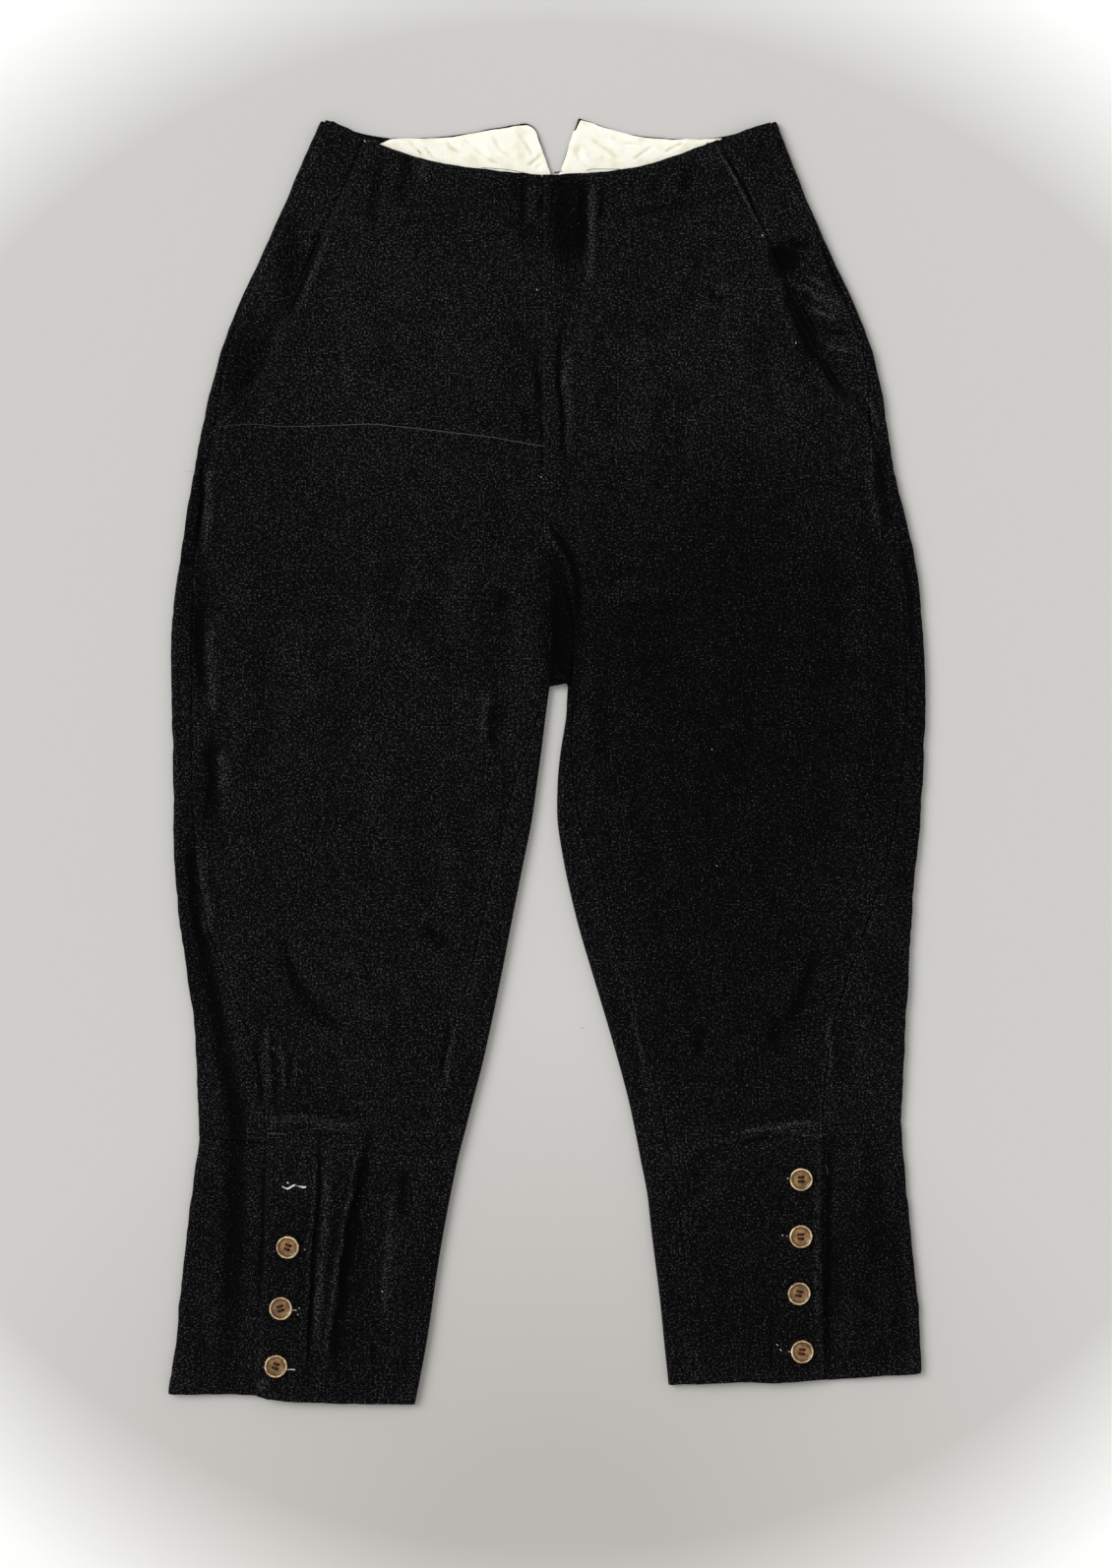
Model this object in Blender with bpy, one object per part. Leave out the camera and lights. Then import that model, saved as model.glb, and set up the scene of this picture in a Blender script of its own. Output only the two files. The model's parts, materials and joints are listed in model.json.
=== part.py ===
"""High-waisted knee breeches in black moleskin, laid flat on a surface with the front upwards.

The wearer's right leg lies at -X and the left leg at +X. The waist points to +Y, and +Z is up from the
surface. Tables are in millimetres: `down` is measured from the top of the waist towards the hems, `out`
from the centre line towards the side of a leg, and `x` along +X. Each back panel lies on the surface and
wraps round both folded edges of its leg. The front panel closes the leg on top, between the two seams.
"""
import math
from bisect import bisect_right
from collections import namedtuple

import bmesh
import bpy
from mathutils import Matrix, Vector

MM = 0.001
LENGTH = 861.0  # top of the waist to the lowest hem
CLOTH = 1.5  # thickness of the moleskin
LINING = 1.0  # thickness of the cotton in the back waist
SEAM = 0.3  # gap between two pieces that are sewn together
LAP = 0.7  # gap between a piece and the one that it passes under
FOLD_HEIGHT = 6.4  # height of the top layer beside a folded edge
PUFF = 0.5  # further height of the top layer away from its edges
PUFF_WIDTH = 32.0  # distance from an edge over which the top layer rises
SIDE_ROUND = 3.3  # how far a folded side bulges past the top layer
CENTRE_BACK = 5.9  # x of the centre back seam
CROTCH = 380.0  # down to the lowest point of the fork
CURL_END = 391.0  # down to where the inner fold is fully round
KNEE = 683.0  # nominal level of the seam between leg and band
KNEE_FADE = 113.0  # height over which the rows turn to follow that seam
WAIST_FADE = 120.0  # height over which the rows turn to follow the waist
POCKET_TOP = 80.0
POCKET_END = 206.0
POCKET_FADE = 20.0
POCKET_RISE = 18.0  # width over which the hip piece comes up level with the front at the pocket
CLOSED_RISE = 5.0  # the same above the pocket, where the two are sewn together
HIP_UNDERLAP = 8.0  # how far the hip piece runs in under the front
HIP_LEAST = 2.0  # least width of the hip piece, at the foot of the pocket
SHIELD = 1.2  # thickness of the fly shield
SHIELD_TOP = 4.2  # height of its upper face
BUTTON_STAND = 34.0  # how far a band's underlap runs in under its front
BUTTON_RADIUS = 7.9
HOLE_RADIUS = 0.9
HOLE_OFFSET = 1.45

SideRow = namedtuple("SideRow", "down outer lip")
InnerRow = namedtuple("InnerRow", "down inner lip")
Edge = namedtuple("Edge", "x down")
Notch = namedtuple("Notch", "down out")
Fold = namedtuple("Fold", "out0 down0 out1 down1 width depth flatness")

# Outline of each leg's folded side, with the width of back panel that shows in front of it.
RIGHT_SIDE = (
    SideRow(0, 151, 4), SideRow(25, 162, 4), SideRow(78, 185, 4), SideRow(131, 210, 4),
    SideRow(157, 219, 5), SideRow(210, 232, 8), SideRow(263, 241, 10), SideRow(293, 245.5, 9),
    SideRow(315, 249, 12), SideRow(345, 252, 14), SideRow(434, 250.5, 13), SideRow(487, 250, 14),
    SideRow(513, 249, 16), SideRow(540, 246, 18), SideRow(566, 242, 24), SideRow(593, 238, 32),
    SideRow(619, 235.5, 39), SideRow(645, 234.5, 43.5), SideRow(683, 233, 45.5), SideRow(711, 237, 48),
    SideRow(777, 245, 53.5), SideRow(817, 248, 55.5), SideRow(847, 253, 59), SideRow(861, 253.5, 59),
)
LEFT_SIDE = (
    SideRow(0, 153, 4), SideRow(25, 162, 4), SideRow(78, 184, 4), SideRow(131, 209, 5),
    SideRow(157, 218.5, 6), SideRow(183, 224.5, 8.5), SideRow(197, 226.4, 11), SideRow(210, 228.5, 11),
    SideRow(236, 232.5, 9.5), SideRow(263, 238.5, 9), SideRow(289, 245.5, 11), SideRow(315, 249.5, 12),
    SideRow(381, 253.5, 12.5), SideRow(434, 252, 14), SideRow(461, 251, 15), SideRow(487, 248, 19),
    SideRow(513, 245.5, 22), SideRow(553, 243, 34), SideRow(593, 241, 45.5), SideRow(632, 239, 52),
    SideRow(672, 237, 52.5), SideRow(685, 238, 53), SideRow(711, 240, 56), SideRow(777, 247, 63),
    SideRow(817, 250, 65), SideRow(850, 251, 65),
)

# Outline of each leg's inner fold, with the width of back panel between it and the inside leg seam.
RIGHT_INNER = (
    InnerRow(378, -1.5, 1), InnerRow(392, 0, 1.2), InnerRow(402, 1.2, 1.5), InnerRow(418, 3, 6),
    InnerRow(434, 5.3, 10), InnerRow(461, 8.6, 15), InnerRow(487, 13, 15), InnerRow(513, 19, 16),
    InnerRow(566, 29, 18), InnerRow(619, 40, 22), InnerRow(645, 46, 24), InnerRow(672, 53.5, 23),
    InnerRow(698, 60, 22), InnerRow(738, 68, 21), InnerRow(777, 74.5, 22), InnerRow(817, 80, 22),
    InnerRow(861, 88.5, 22),
)
LEFT_INNER = (
    InnerRow(378, 14, 1), InnerRow(392, 13.5, 1.2), InnerRow(402, 12.8, 1.5), InnerRow(418, 9.5, 3),
    InnerRow(434, 7.3, 6), InnerRow(461, 6, 11), InnerRow(474, 6.6, 13), InnerRow(487, 8.6, 15),
    InnerRow(513, 14, 17), InnerRow(540, 20.5, 17), InnerRow(593, 36.5, 17), InnerRow(645, 51.5, 17),
    InnerRow(672, 58, 17), InnerRow(698, 62.5, 17), InnerRow(724, 68, 17), InnerRow(751, 70, 17),
    InnerRow(777, 74, 17), InnerRow(817, 78, 16), InnerRow(850, 81.5, 14),
)

# Slanting edge of each front, from the waist along the pocket mouth to the side seam.
RIGHT_SLANT = (
    Notch(0, 113), Notch(14, 121), Notch(61, 142.5), Notch(84, 154), Notch(121, 171),
    Notch(180, 196), Notch(196, 211), Notch(206, 226),
)
LEFT_SLANT = (
    Notch(0, 106), Notch(14, 113), Notch(45, 129), Notch(78, 145), Notch(111, 161),
    Notch(137, 176), Notch(190, 206), Notch(198, 213), Notch(206, 224),
)

# Centre front: the edge of the fly, then the fork seam that swings under the left leg.
CENTRE_FRONT = (
    (0, -3.3), (240, -3.3), (279, -3), (290, -1), (297, 2), (309, 9), (326, 15.8), (342, 17.8),
    (362, 17.5), (378, 15.8),
)
# Front waist from the wearer's right side to the left.
FRONT_WAIST = (
    Edge(-152, 3), Edge(-143, 0.5), Edge(-124, 9), Edge(-97, 21), Edge(-71, 29), Edge(-45, 33),
    Edge(-3, 37.5), Edge(29, 36), Edge(55, 33), Edge(78, 25.5), Edge(114, 13), Edge(135, 5),
    Edge(146, 2.5), Edge(154, 2),
)
# The back waist stands higher in two peaks, with a notch between them at the centre back.
RIGHT_BACK_WAIST = (
    Edge(-152, 3), Edge(-143, 1.5), Edge(-124, 10.5), Edge(-113, 13), Edge(-77, 12), Edge(-57, 10),
    Edge(-37, 6), Edge(-24, 3.3), Edge(-12, 2), Edge(-7, 3.5),
)
LEFT_BACK_WAIST = (
    Edge(21, 0), Edge(29, 0.8), Edge(38, 5.5), Edge(55, 10.5), Edge(69, 11.5), Edge(88, 13.5),
    Edge(118, 12.5), Edge(135, 7), Edge(146, 3.5), Edge(154, 2),
)
RIGHT_NOTCH = (Notch(2, 7.3), Notch(6, 5), Notch(14, 2.6), Notch(22, 1.3), Notch(28, -1.3), Notch(36, -5.6))
LEFT_NOTCH = (Notch(1, 21), Notch(9, 17.8), Notch(18, 14.5), Notch(28, 11), Notch(36, 6.2))

# Seam between leg and band, and the hem, each a level at the inner edge and one at the side.
RIGHT_KNEE = ((60, 697), (140, 689), (233, 682))
LEFT_KNEE = ((61, 687), (125, 681), (185, 674), (238, 671))
RIGHT_HEM = ((88, 861), (134, 860), (192, 857), (195, 854.5), (254, 854))
LEFT_HEM = ((81, 847.5), (140, 848.5), (155, 849), (172, 845.5), (203, 843.5), (251, 840))

# Largest folds of each leg's top layer. A negative depth is a trough, and a high flatness a steep side.
RIGHT_FOLDS = (
    Fold(228, 318, 224, 470, 7, -1.3, 2),
    Fold(235, 480, 226, 585, 7, -1.6, 2),
    Fold(226, 585, 208, 664, 7, -1.8, 2),
    Fold(208, 664, 214, 850, 7, -1.8, 2),
    Fold(178, 551, 160, 590, 9, -1.2, 2),
    Fold(160, 590, 138, 612, 9, -1.0, 2),
    Fold(36, 318, 34, 430, 8, -0.9, 2),
    Fold(98, 326, 76, 352, 12, -0.8, 2),
    Fold(-9, 334, -9, 396, 9.4, -2.9, 6),
    Fold(18, 44, 18, 76, 5, -0.8, 2),
    Fold(214, 190, 186, 92, 8, -0.8, 2),
    Fold(157, 690, 169, 858, 29, 0.9, 10),
    Fold(120, 700, 138, 850, 7, -1.3, 2),
    Fold(151, 690, 160, 858, 2.6, -1.2, 2),
)
LEFT_FOLDS = (
    Fold(73, 340, 73, 372, 24, -1.2, 2),
    Fold(175, 590, 152, 622, 9, -1.3, 2),
    Fold(170, 552, 176, 592, 10, -0.9, 2),
    Fold(76, 500, 73, 560, 16, -0.7, 2),
    Fold(120, 684, 82, 728, 10, -1.4, 2),
    Fold(12, 44, 15, 104, 9, -0.9, 4),
    Fold(12, 128, 12.5, 238, 3, -0.8, 2),
    Fold(196, 676, 188, 842, 7, -0.8, 2),
    Fold(216, 232, 222, 300, 7, -0.9, 2),
)

BODY_ROWS = (
    0, 12, 26, 42, 60, 80, 105, 131, 157, 183, 196, 206, 232, 258, 282, 297, 309, 322, 337, 355, 370, 378,
    381, 384, 387.5, 391, 402, 418, 440, 470, 505, 540, 568, 596, 624, 654, 683,
)
HIP_ROWS = tuple(row for row in BODY_ROWS if row <= POCKET_END)
BAND_ROWS = (0, 0.07, 0.2, 0.35, 0.5, 0.65, 0.8, 0.93, 1)
FRONT_COLUMNS = (0, 0.03, 0.07, 0.12, 0.19, 0.27, 0.36, 0.45, 0.54, 0.63, 0.72, 0.8, 0.87, 0.93, 0.965, 1)
BAND_COLUMNS = (0, 0.09, 0.19, 0.29, 0.35, 0.4, 0.45, 0.52, 0.6, 0.66, 0.74, 0.84, 0.93, 1)

COLOURS = {
    "moleskin": ((0.012, 0.012, 0.014), 0.95, 0.0),
    "cotton": ((0.80, 0.77, 0.66), 0.9, 0.0),
    "corozo": ((0.33, 0.19, 0.08), 0.35, 0.0),
}


def along(points, at):
    """Reads a smooth curve through (place, value) pairs."""
    at = min(max(at, points[0][0]), points[-1][0])
    start = min(bisect_right([p[0] for p in points], at) - 1, len(points) - 2)
    (x0, y0), (x1, y1) = points[start], points[start + 1]
    before = points[max(start - 1, 0)]
    after = points[min(start + 2, len(points) - 1)]
    span = x1 - x0
    slope0 = (y1 - before[1]) / (x1 - before[0]) * span
    slope1 = (after[1] - y0) / (after[0] - x0) * span
    t = (at - x0) / span
    return (
        y0 * (2 * t**3 - 3 * t**2 + 1) + slope0 * (t**3 - 2 * t**2 + t)
        + y1 * (3 * t**2 - 2 * t**3) + slope1 * (t**3 - t**2)
    )


def ease(t):
    """Rises smoothly from 0 to 1."""
    t = min(max(t, 0.0), 1.0)
    return t * t * (3 - 2 * t)


def mix(a, b, share):
    return a + (b - a) * share


def lift(fold, out, down):
    """Height that one fold adds at a place, full along its line and fading to the sides."""
    run, fall = fold.out1 - fold.out0, fold.down1 - fold.down0
    share = ((out - fold.out0) * run + (down - fold.down0) * fall) / (run * run + fall * fall)
    share = min(max(share, 0.0), 1.0)
    away = math.hypot(out - fold.out0 - share * run, down - fold.down0 - share * fall)
    return fold.depth * math.exp(-((away / fold.width) ** fold.flatness))


class Leg:
    """Outline, levels and heights of one half of the breeches."""

    def __init__(self, name, hand, side, inner, slant, back_waist, notch, knee, hem, folds):
        self.name = name
        self.hand = hand
        self.outer_edge = [(row.down, row.outer) for row in side]
        self.side_lip = [(row.down, row.lip) for row in side]
        self.inner_edge = [(row.down, row.inner) for row in inner]
        self.inner_lip = [(row.down, row.lip) for row in inner]
        self.slant_edge = slant
        self.back_waist = back_waist
        self.notch = notch
        self.knee = knee
        self.hem = hem
        self.folds = folds

    def outer(self, down):
        return along(self.outer_edge, down)

    def inner(self, down):
        """Inner fold below the fork, and the centre back seam or its notch above it."""
        if down > CROTCH:
            return along(self.inner_edge, down)
        if down < self.notch[-1].down:
            return along(self.notch, down)
        return self.hand * CENTRE_BACK + SEAM / 2

    def side_seam(self, down):
        return self.outer(down) - along(self.side_lip, down)

    def inside_seam(self, down):
        return self.inner(down) + FOLD_HEIGHT / 2 + along(self.inner_lip, down)

    def slant(self, down):
        """Outer edge of the front panel: the pocket slant, then the side seam."""
        if down < self.slant_edge[-1].down:
            return min(along(self.slant_edge, down), self.side_seam(down) - SEAM)
        return self.side_seam(down) - SEAM

    def front_inner(self, down):
        """Inner edge of the front panel: the centre front, then the inside leg seam."""
        if down > CROTCH:
            return self.inside_seam(down) + SEAM
        return self.hand * along(CENTRE_FRONT, down) + SEAM / 2

    def height(self, out, down):
        """Height of the outer face of the top layer."""
        edge = self.outer(down) - out
        if down > CROTCH:
            edge = min(edge, out - self.inner(down))
        folds = sum(lift(fold, out, down) for fold in self.folds)
        return FOLD_HEIGHT + PUFF * ease(edge / PUFF_WIDTH) + folds

    def point(self, out, down, z):
        return Vector((self.hand * out, LENGTH / 2 - down, z)) * MM

    def body_row(self, level, waist):
        """Turns a nominal level into a row that follows the waist at the top and the knee seam below."""
        waist_share = max(0.0, 1 - level / WAIST_FADE)
        knee_share = max(0.0, (level - KNEE + KNEE_FADE) / KNEE_FADE)

        def down(out):
            top = along(waist, self.hand * out)
            return level + waist_share * top + knee_share * (along(self.knee, out) - KNEE)

        return down

    def band_row(self, share):
        """A row of the band, part of the way from the knee seam to the hem."""
        return lambda out: mix(along(self.knee, out) + SEAM, along(self.hem, out), share)


def meet(edge, row):
    """Finds where an edge, given as out for a down, crosses a row, given as down for an out."""
    out = edge(row(150.0))
    for _ in range(8):
        out = edge(row(out))
    return out


def wall(name, material, outside, inside):
    """A closed piece of cloth from the rows of its outer face and the same rows of its inner face."""
    bm = bmesh.new()
    faces = [[[bm.verts.new(point) for point in row] for row in rows] for rows in (outside, inside)]
    last_row, last = len(outside) - 1, len(outside[0]) - 1
    for rows in faces:
        for r in range(last_row):
            for c in range(last):
                bm.faces.new((rows[r][c], rows[r][c + 1], rows[r + 1][c + 1], rows[r + 1][c]))
    rim = [(0, c) for c in range(last)] + [(r, last) for r in range(last_row)]
    rim += [(last_row, c) for c in range(last, 0, -1)] + [(r, 0) for r in range(last_row, 0, -1)]
    for (r0, c0), (r1, c1) in zip(rim, rim[1:] + rim[:1]):
        bm.faces.new((faces[0][r0][c0], faces[0][r1][c1], faces[1][r1][c1], faces[1][r0][c0]))
    bmesh.ops.recalc_face_normals(bm, faces=bm.faces)
    return finish(name, bm, material)


def finish(name, bm, material):
    """Makes an object of a mesh, shaded smooth but for its cut edges."""
    mesh = bpy.data.meshes.new(name)
    bm.to_mesh(mesh)
    bm.free()
    mesh.shade_smooth()
    mesh.set_sharp_from_angle(angle=math.radians(50))
    mesh.materials.append(bpy.data.materials[material])
    obj = bpy.data.objects.new(name, mesh)
    bpy.context.scene.collection.objects.link(obj)
    return obj


def sheet(name, material, leg, rows, columns, height, thickness):
    """A piece that lies open: rows of places across, each with its height given by a function."""
    outside, inside = [], []
    for row, outs in zip(rows, columns):
        places = [(out, row(out)) for out in outs]
        tops = [(out, down, height(out, down)) for out, down in places]
        outside.append([leg.point(out, down, z) for out, down, z in tops])
        inside.append([leg.point(out, down, z - thickness) for out, down, z in tops])
    return wall(name, material, outside, inside)


def wrapped_section(leg, row, lip, lip_height, curl):
    """Outer and inner face of a back piece across one row, from its side lip round to its inner one.

    The side is a half round fold. The inner end is a fold of the same kind that unrolls to lie flat
    where curl is 0, as it does above the fork.
    """
    outer = meet(leg.outer, row)
    hub = outer - SIDE_ROUND
    hub_height = leg.height(hub, row(hub))
    seam = meet(lambda down: leg.outer(down) - lip(down), row)
    outside, inside = [], []
    for share in (0, 0.35, 0.7):
        out = mix(seam, hub, share)
        top = lip_height(out, row(out))
        outside.append((out, top))
        inside.append((out, top - CLOTH))
    middle = hub_height / 2
    for step in range(5):
        turn = math.pi * (1 - step / 4)
        for face, inset in ((outside, 0.0), (inside, CLOTH)):
            bulge = (SIDE_ROUND - inset) * math.sin(turn)
            face.append((hub + bulge, middle - (middle - inset) * math.cos(turn)))

    inner = meet(leg.inner, row)
    inner_height = leg.height(inner + FOLD_HEIGHT / 2, row(inner))
    length = math.pi * inner_height / 2
    radius = length / (math.pi * max(curl, 0.01))
    sweep = length / radius
    seam_length = meet(leg.inside_seam, row) - inner - inner_height / 2
    lip_length = mix(1.0, seam_length, ease(curl) ** 2)
    reach = radius if sweep > math.pi / 2 else radius * math.sin(sweep) + lip_length * math.cos(sweep)
    inner_hub = inner + reach
    for share in (0.16, 0.33, 0.5, 0.67, 0.84):
        out = mix(hub, inner_hub, share)
        outside.append((out, 0.0))
        inside.append((out, CLOTH))
    for step in range(5):
        turn = sweep * step / 4
        for face, inset in ((outside, 0.0), (inside, CLOTH)):
            round_off = radius - inset
            z = radius - round_off * math.cos(turn)
            face.append((inner_hub - round_off * math.sin(turn), max(z, 0.0)))
    ends = (outside[-1], inside[-1])
    for share in (0.5, 1.0):
        for face, (out, z), inset in zip((outside, inside), ends, (0.0, CLOTH)):
            out -= lip_length * share * math.cos(sweep)
            z += lip_length * share * math.sin(sweep)
            level = leg.height(out, row(out)) - inset
            face.append((out, mix(z, level, curl**4)))
    return outside, inside


def wrapped(name, leg, rows, lip, lip_height, curls):
    """A back piece that wraps round its leg, lofted from one section on each row."""
    outside, inside = [], []
    for row, curl in zip(rows, curls):
        for face, section in zip((outside, inside), wrapped_section(leg, row, lip, lip_height, curl)):
            face.append([leg.point(out, row(out), z) for out, z in section])
    return wall(name, "moleskin", outside, inside)


def back_panel(leg):
    """Back of one leg from the peaked waist to the knee seam."""
    rows = [leg.body_row(level, leg.back_waist) for level in BODY_ROWS]
    curls = [ease((level - CROTCH) / (CURL_END - CROTCH)) for level in BODY_ROWS]
    return wrapped(
        f"{leg.name}_back", leg, rows, lambda down: along(leg.side_lip, down), leg.height, curls
    )


def front_panel(leg):
    """Front of one leg, from the waist, pocket slant and side seam to the centre front and inside leg."""
    rows = [leg.body_row(level, FRONT_WAIST) for level in BODY_ROWS]
    columns = []
    for row in rows:
        start, end = meet(leg.slant, row), meet(leg.front_inner, row)
        columns.append([mix(start, end, share) for share in FRONT_COLUMNS])
    return sheet(f"{leg.name}_front", "moleskin", leg, rows, columns, leg.height, CLOTH)


def hip_piece(leg):
    """Piece between the front's slanting edge and the side seam. It faces the pocket."""
    rows = [leg.body_row(level, FRONT_WAIST) for level in HIP_ROWS]
    outside, inside = [], []
    for row in rows:
        end = meet(leg.side_seam, row) - SEAM
        shown = end - meet(leg.slant, row)
        start = end - max(shown, HIP_LEAST)
        mouth = ease((row(start) - POCKET_TOP) / POCKET_FADE)
        rise = min(mix(CLOSED_RISE, POCKET_RISE, mouth), 0.6 * (end - start))
        outs = [start - HIP_UNDERLAP, start - 1, start + rise / 2, start + rise]
        outs += [mix(start + rise, end, share) for share in (0.4, 0.7, 1)]
        section = []
        for out in outs:
            level = ease((out - start) / rise) * ease(shown / POCKET_RISE)
            section.append((out, row(out), leg.height(out, row(out)) - mix(CLOTH + LAP, 0, level)))
        outside.append([leg.point(out, down, z) for out, down, z in section])
        inside.append([leg.point(out, down, z - CLOTH) for out, down, z in section])
    return wall(f"{leg.name}_hip", "moleskin", outside, inside)


def fly_shield(leg):
    """Underlap of the fly, which bridges the centre front opening from below."""
    top, bottom, left_edge, right_edge = 41.0, 246.0, -24.0, 10.0
    levels = [mix(top, bottom, share) for share in (0, 0.25, 0.5, 0.75, 1)]
    rows = [lambda out, level=level: level for level in levels]
    columns = [[mix(right_edge, left_edge, share) for share in (0, 0.33, 0.67, 1)] for _ in levels]
    return sheet("fly_shield", "moleskin", leg, rows, columns, lambda out, down: SHIELD_TOP, SHIELD)


def back_lining(leg):
    """Cotton that lines the back waist and shows above the front."""
    margin, bottom, side = 1.6, 47.0, 128.0
    rows, columns = [], []
    for share in (0, 0.2, 0.4, 0.6, 0.8, 1):
        def row(out, share=share):
            return mix(along(leg.back_waist, leg.hand * out) + margin, bottom - 0.2 * out, share)

        end = meet(lambda down: leg.inner(down) + margin, row)
        rows.append(row)
        columns.append([mix(side, end, across) for across in (0, 0.15, 0.3, 0.45, 0.6, 0.75, 0.88, 1)])
    return sheet(
        f"{leg.name}_lining", "cotton", leg, rows, columns,
        lambda out, down: CLOTH + SEAM + LINING, LINING,
    )


def band_back(leg):
    """Back of the knee band. It wraps round the side and in under the buttoned front edge."""
    def lip(down):
        return along(leg.side_lip, down) + BUTTON_STAND

    def lip_height(out, down):
        inward = (leg.outer(down) - SIDE_ROUND - out) / along(leg.side_lip, down)
        return leg.height(out, down) - (CLOTH + LAP) * ease(inward)

    rows = [leg.band_row(share) for share in BAND_ROWS]
    return wrapped(f"{leg.name}_band_back", leg, rows, lip, lip_height, [1.0] * len(rows))


def band_front(leg):
    """Front of the knee band, from its buttoned edge to the inside leg seam."""
    rows = [leg.band_row(share) for share in BAND_ROWS]
    columns = []
    for row in rows:
        start, end = meet(leg.side_seam, row), meet(leg.inside_seam, row) + SEAM
        columns.append([mix(start, end, share) for share in BAND_COLUMNS])
    return sheet(f"{leg.name}_band_front", "moleskin", leg, rows, columns, leg.height, CLOTH)


def button_mesh():
    """Four-hole button, turned with a raised rim round a sunk middle."""
    profile = ((0, 0), (6.6, 0), (7.9, 1.0), (7.9, 1.9), (7.2, 2.7), (6.3, 2.7), (5.3, 1.9), (0, 1.7))
    bm = bmesh.new()
    points = [bm.verts.new(Vector((r, 0, z)) * MM) for r, z in profile]
    line = [bm.edges.new(pair) for pair in zip(points, points[1:])]
    bmesh.ops.spin(
        bm, geom=points + line, axis=(0, 0, 1), cent=(0, 0, 0), angle=math.tau, steps=20, use_merge=True
    )
    bmesh.ops.remove_doubles(bm, verts=bm.verts, dist=0.01 * MM)
    bmesh.ops.recalc_face_normals(bm, faces=bm.faces)
    blank = finish("button_blank", bm, "corozo")

    bm = bmesh.new()
    for across in (-HOLE_OFFSET, HOLE_OFFSET):
        for up in (-HOLE_OFFSET, HOLE_OFFSET):
            bmesh.ops.create_cone(
                bm, cap_ends=True, segments=8, radius1=HOLE_RADIUS * MM, radius2=HOLE_RADIUS * MM,
                depth=8 * MM, matrix=Matrix.Translation(Vector((across, up, 1)) * MM),
            )
    drill = finish("button_drill", bm, "corozo")
    for helper in (blank, drill):
        helper.hide_render = True
        helper.display_type = "WIRE"
    holes = blank.modifiers.new("holes", "BOOLEAN")
    holes.operation = "DIFFERENCE"
    holes.object = drill
    graph = bpy.context.evaluated_depsgraph_get()
    mesh = bpy.data.meshes.new_from_object(blank.evaluated_get(graph))
    bpy.data.objects.remove(blank)
    bpy.data.objects.remove(drill)
    return mesh


def sew_button(leg, number, mesh, out, down):
    """Sets a button on the band, just clear of the highest cloth under it."""
    ring = [k * math.tau / 12 for k in range(12)]
    under = [
        leg.height(out + share * BUTTON_RADIUS * math.cos(a), down + share * BUTTON_RADIUS * math.sin(a))
        for a in ring for share in (0, 0.5, 1)
    ]
    button = bpy.data.objects.new(f"{leg.name}_button_{number}", mesh)
    button.location = leg.point(out, down, max(under) + SEAM)
    bpy.context.scene.collection.objects.link(button)
    return button


def make_materials():
    for name, (colour, roughness, metallic) in COLOURS.items():
        material = bpy.data.materials.new(name)
        material.use_nodes = True
        shader = material.node_tree.nodes["Principled BSDF"]
        shader.inputs["Base Color"].default_value = (*colour, 1.0)
        shader.inputs["Roughness"].default_value = roughness
        shader.inputs["Metallic"].default_value = metallic


def main():
    for obj in list(bpy.data.objects):
        bpy.data.objects.remove(obj)
    make_materials()
    right = Leg(
        "right", -1, RIGHT_SIDE, RIGHT_INNER, RIGHT_SLANT, RIGHT_BACK_WAIST, RIGHT_NOTCH,
        RIGHT_KNEE, RIGHT_HEM, RIGHT_FOLDS,
    )
    left = Leg(
        "left", 1, LEFT_SIDE, LEFT_INNER, LEFT_SLANT, LEFT_BACK_WAIST, LEFT_NOTCH,
        LEFT_KNEE, LEFT_HEM, LEFT_FOLDS,
    )
    for leg in (right, left):
        for make in (back_panel, front_panel, hip_piece, back_lining, band_back, band_front):
            make(leg)
    fly_shield(right)

    mesh = button_mesh()
    # The top button of the right band is lost.
    for number, out, down in ((2, 174, 756.5), (3, 179, 797.5), (4, 182, 835.5)):
        sew_button(right, number, mesh, out, down)
    for number, out, down in ((1, 170.5, 710), (2, 170.3, 749), (3, 169, 788), (4, 171, 826.5)):
        sew_button(left, number, mesh, out, down)


main()
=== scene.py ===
import json
import math

import bmesh
import bpy
import numpy as np
from mathutils import Matrix, Vector
from mathutils.bvhtree import BVHTree

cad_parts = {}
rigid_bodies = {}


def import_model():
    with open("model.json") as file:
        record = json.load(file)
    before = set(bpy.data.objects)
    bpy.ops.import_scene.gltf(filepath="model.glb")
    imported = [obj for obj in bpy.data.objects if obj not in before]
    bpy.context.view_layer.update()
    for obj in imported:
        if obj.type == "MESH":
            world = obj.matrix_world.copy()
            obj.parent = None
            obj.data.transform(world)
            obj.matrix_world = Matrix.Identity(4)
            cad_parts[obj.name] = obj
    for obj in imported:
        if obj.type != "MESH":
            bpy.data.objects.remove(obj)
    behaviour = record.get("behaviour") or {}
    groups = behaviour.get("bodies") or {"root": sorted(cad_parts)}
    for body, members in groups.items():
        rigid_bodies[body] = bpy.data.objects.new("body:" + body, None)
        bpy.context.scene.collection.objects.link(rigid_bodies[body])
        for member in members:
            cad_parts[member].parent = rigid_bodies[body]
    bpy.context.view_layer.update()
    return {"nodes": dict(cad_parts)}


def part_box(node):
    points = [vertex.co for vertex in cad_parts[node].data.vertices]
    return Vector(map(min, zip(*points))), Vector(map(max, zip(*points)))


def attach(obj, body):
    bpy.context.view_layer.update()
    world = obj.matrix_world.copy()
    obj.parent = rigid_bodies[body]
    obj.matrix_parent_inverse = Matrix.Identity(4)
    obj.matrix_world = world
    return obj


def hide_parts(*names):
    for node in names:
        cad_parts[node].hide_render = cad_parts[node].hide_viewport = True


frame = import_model()

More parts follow.
